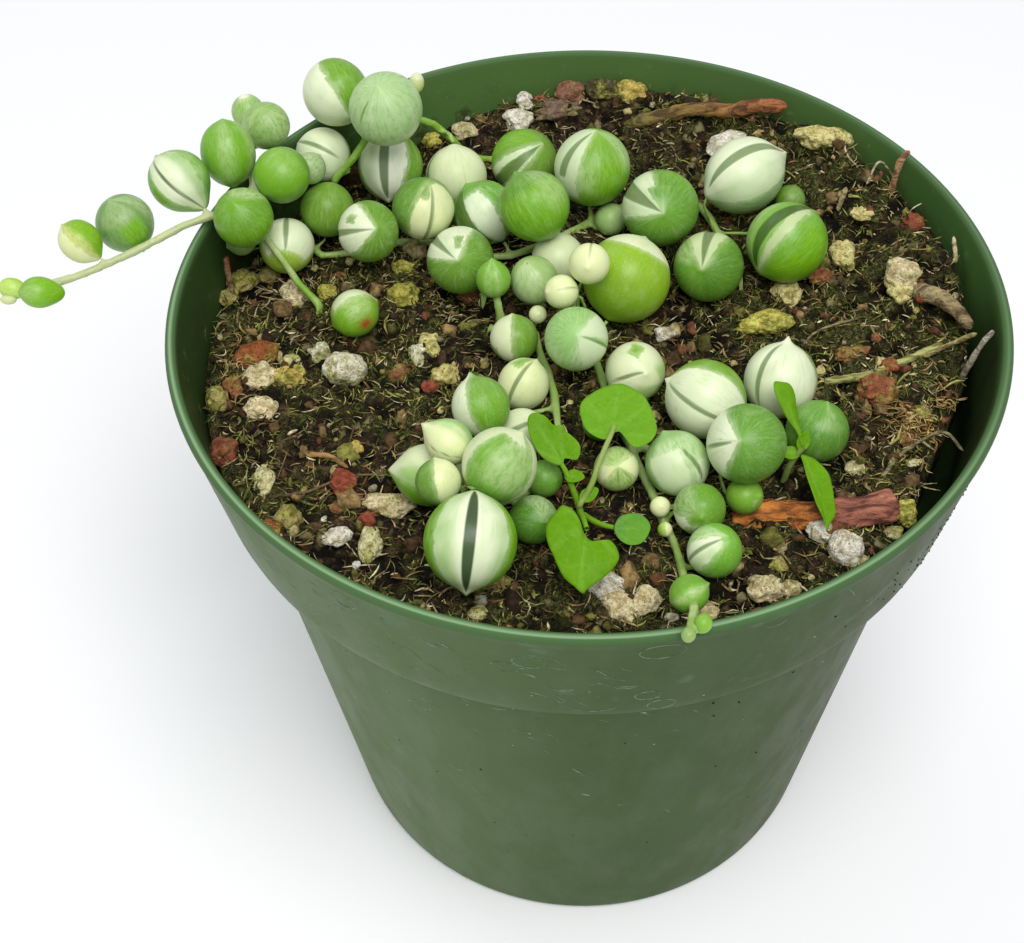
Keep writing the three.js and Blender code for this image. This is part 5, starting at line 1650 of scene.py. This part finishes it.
# Twigs and straws: points (x, y, height above the soil), radius, tint at each end.
TWIGS = {
    "log": ([(8.4, 44.4, 0.2), (14.4, 44.2, 0.5), (19.8, 43.6, 0.9), (24.4, 42.2, 1.5),
        (28.0, 41.0, 2.4), (32.0, 40.2, 4.9)], 1.25, (132, 126, 60), (186, 112, 68)),
    "leaning_straw": ([(44.6, 23.0, -0.8), (45.4, 24.1, 4.0), (46.6, 24.6, 8.4)], 0.55,
        (176, 136, 92), (204, 158, 116)),
    "white_twig": ([(48.6, -9.7, 1.2), (50.0, -9.8, 4.0), (51.2, -9.8, 6.8)], 0.42, (176, 166, 140),
        (220, 214, 198)),
    "mossy_stick": ([(44.9, 4.8, 0.8), (48.4, 0.8, 1.6), (50.8, -3.4, 2.4)], 1.15, (188, 172, 124),
        (160, 140, 100)),
    "stalk_end": ([(44.6, -5.4, 1.2), (47.4, -4.8, 1.7), (51.0, -5.2, 1.8)], 0.42, (196, 190, 122),
        (182, 172, 106)),
    "straw": ([(50.2, 7.0, 0.4), (50.9, 8.6, 2.4), (50.8, 11.2, 4.2)], 0.34, (214, 200, 156),
        (216, 202, 158)),
    "red_leaf": ([(-48.7, 13.7, 6.6), (-48.8, 13.2, 4.8), (-48.6, 12.6, 2.4), (-48.4, 12.2, 0.2)],
        0.42, (146, 92, 58), (160, 142, 108)),
    "brown_root": ([(-40.6, -24.6, 0.2), (-36, -24.0, 0.7), (-31.6, -22.2, 0.9), (-27, -21.2, 0.2)],
        0.18, (104, 84, 56), (120, 98, 66)),
    "tan_flake": ([(-36.8, -17.6, 0.2), (-33.6, -18.6, 0.8), (-31.2, -20.4, 0.3)], 0.4,
        (186, 146, 88), (160, 120, 70)),
    "wire_root": ([(36.0, -24.8, 0.3), (39.0, -21.6, 1.0), (43.4, -21.4, 0.8), (45.6, -24.2, 0.3)],
        0.26, (150, 144, 104), (128, 120, 82)),
    "grass": ([(28.2, -4.6, 0.3), (31.0, 0.8, 0.7), (38.2, 3.4, 0.6)], 0.2, (162, 150, 100),
        (140, 130, 84)),
    "curl": ([(41.4, 24.6, 0.4), (43.4, 26.8, 1.6), (46.4, 26.2, 1.2)], 0.2, (190, 186, 160),
        (170, 162, 130)),
    "chip": ([(37.4, 22.8, 0.3), (38.6, 24.6, 1.6)], 0.4, (176, 160, 110), (190, 176, 128)),
}
TWIG_SIDES, TWIG_STEPS = 16, 12
THIN = 0.3  # a twig thinner than this is a straw


def twig(name, index):
    points, radius, start, end = TWIGS[name]
    line = curve([(x, y, (ground(x, y) or SOIL_LEVEL + OVER_EDGE) + h) for x, y, h in points],
                 TWIG_STEPS)
    share = np.linspace(0, 1, len(line))
    taper = np.sqrt(np.clip(np.minimum(share, 1 - share) * 16, 0.03, 1))
    slim = 0.85 if name == "log" else 1 - 0.25 * share
    verts, faces = tube(line, radius * taper * slim, TWIG_SIDES)
    centre = np.repeat(line, TWIG_SIDES, 0)
    rough = 1 + 0.35 * layered(verts, 1.6, 3, 90 + index)
    verts = centre + (verts - centre) * rough[:, None]
    tint = blend(linear(start), linear(end), np.repeat(share, TWIG_SIDES)[:, None])
    mesh = even_mesh("twig_" + name, verts, faces)
    finished("twig_" + name, mesh, STALK_SKIN if radius < THIN else BARK_SKIN, ["soil"],
             {"tint": tint})


for number, twig_name in enumerate(TWIGS):
    twig(twig_name, number)


# ---------------------------------------------------------------- stage, light, camera

FLOOR_HALF = 3000
AIM = (0, 0, 0.07)  # where the lamps point, in metres


def stage():
    look = Look("paper")
    colour = look.mix(look.noise(look.place(), 3.0, 2.0, 0.5), (250, 251, 254), (253, 253, 255))
    corners = [(x * FLOOR_HALF, y * FLOOR_HALF, 0) for x, y in ((-1, -1), (1, -1), (1, 1), (-1, 1))]
    mesh = blank_mesh("floor", corners, [(0, 1, 2, 3)])
    mesh.materials.append(look.finish(Base_Color=colour, Roughness=0.9, Specular_IOR_Level=0.1))
    add_object("floor", mesh)


def lamp(name, place, size, power, colour):
    """A round soft lamp that shines on the plant."""
    data = bpy.data.lights.new(name, "AREA")
    data.shape = "DISK"
    data.size = size
    data.energy = power
    data.color = colour
    made = add_object(name, data)
    made.location = place
    made.rotation_mode = "QUATERNION"
    made.rotation_quaternion = (Vector(AIM) - Vector(place)).to_track_quat("-Z", "Y")


def light():
    world = bpy.data.worlds.new("soft_room")
    bpy.context.scene.world = world
    world.use_nodes = True
    sky = world.node_tree.nodes["Background"]
    sky.inputs["Color"].default_value = (0.96, 0.98, 1.0, 1)
    sky.inputs["Strength"].default_value = 0.50
    lamp("key", (0.08, -0.34, 0.85), 0.55, 5.6, (1.0, 0.99, 0.97))
    lamp("back", (-0.35, 0.45, 0.6), 0.5, 0.8, (0.98, 0.99, 1.0))


def camera():
    """The camera of the photo, worked out from the rim's ellipse and the step of the band."""
    data = bpy.data.cameras.new("camera")
    data.lens = 57.86
    data.sensor_width = 36.0
    data.clip_start = 0.01
    data.clip_end = 10
    right = Vector((0.99938, -0.02662, -0.02292))
    up = Vector((0.03513, 0.75733, 0.65209))
    turn = Matrix((right, up, right.cross(up))).transposed()
    eye = add_object("camera", data)
    eye.matrix_world = Matrix.Translation((-0.010413, -0.157709, 0.246513)) @ turn.to_4x4()
    bpy.context.scene.camera = eye


stage()
light()
camera()
bpy.context.scene.view_settings.view_transform = "Standard"
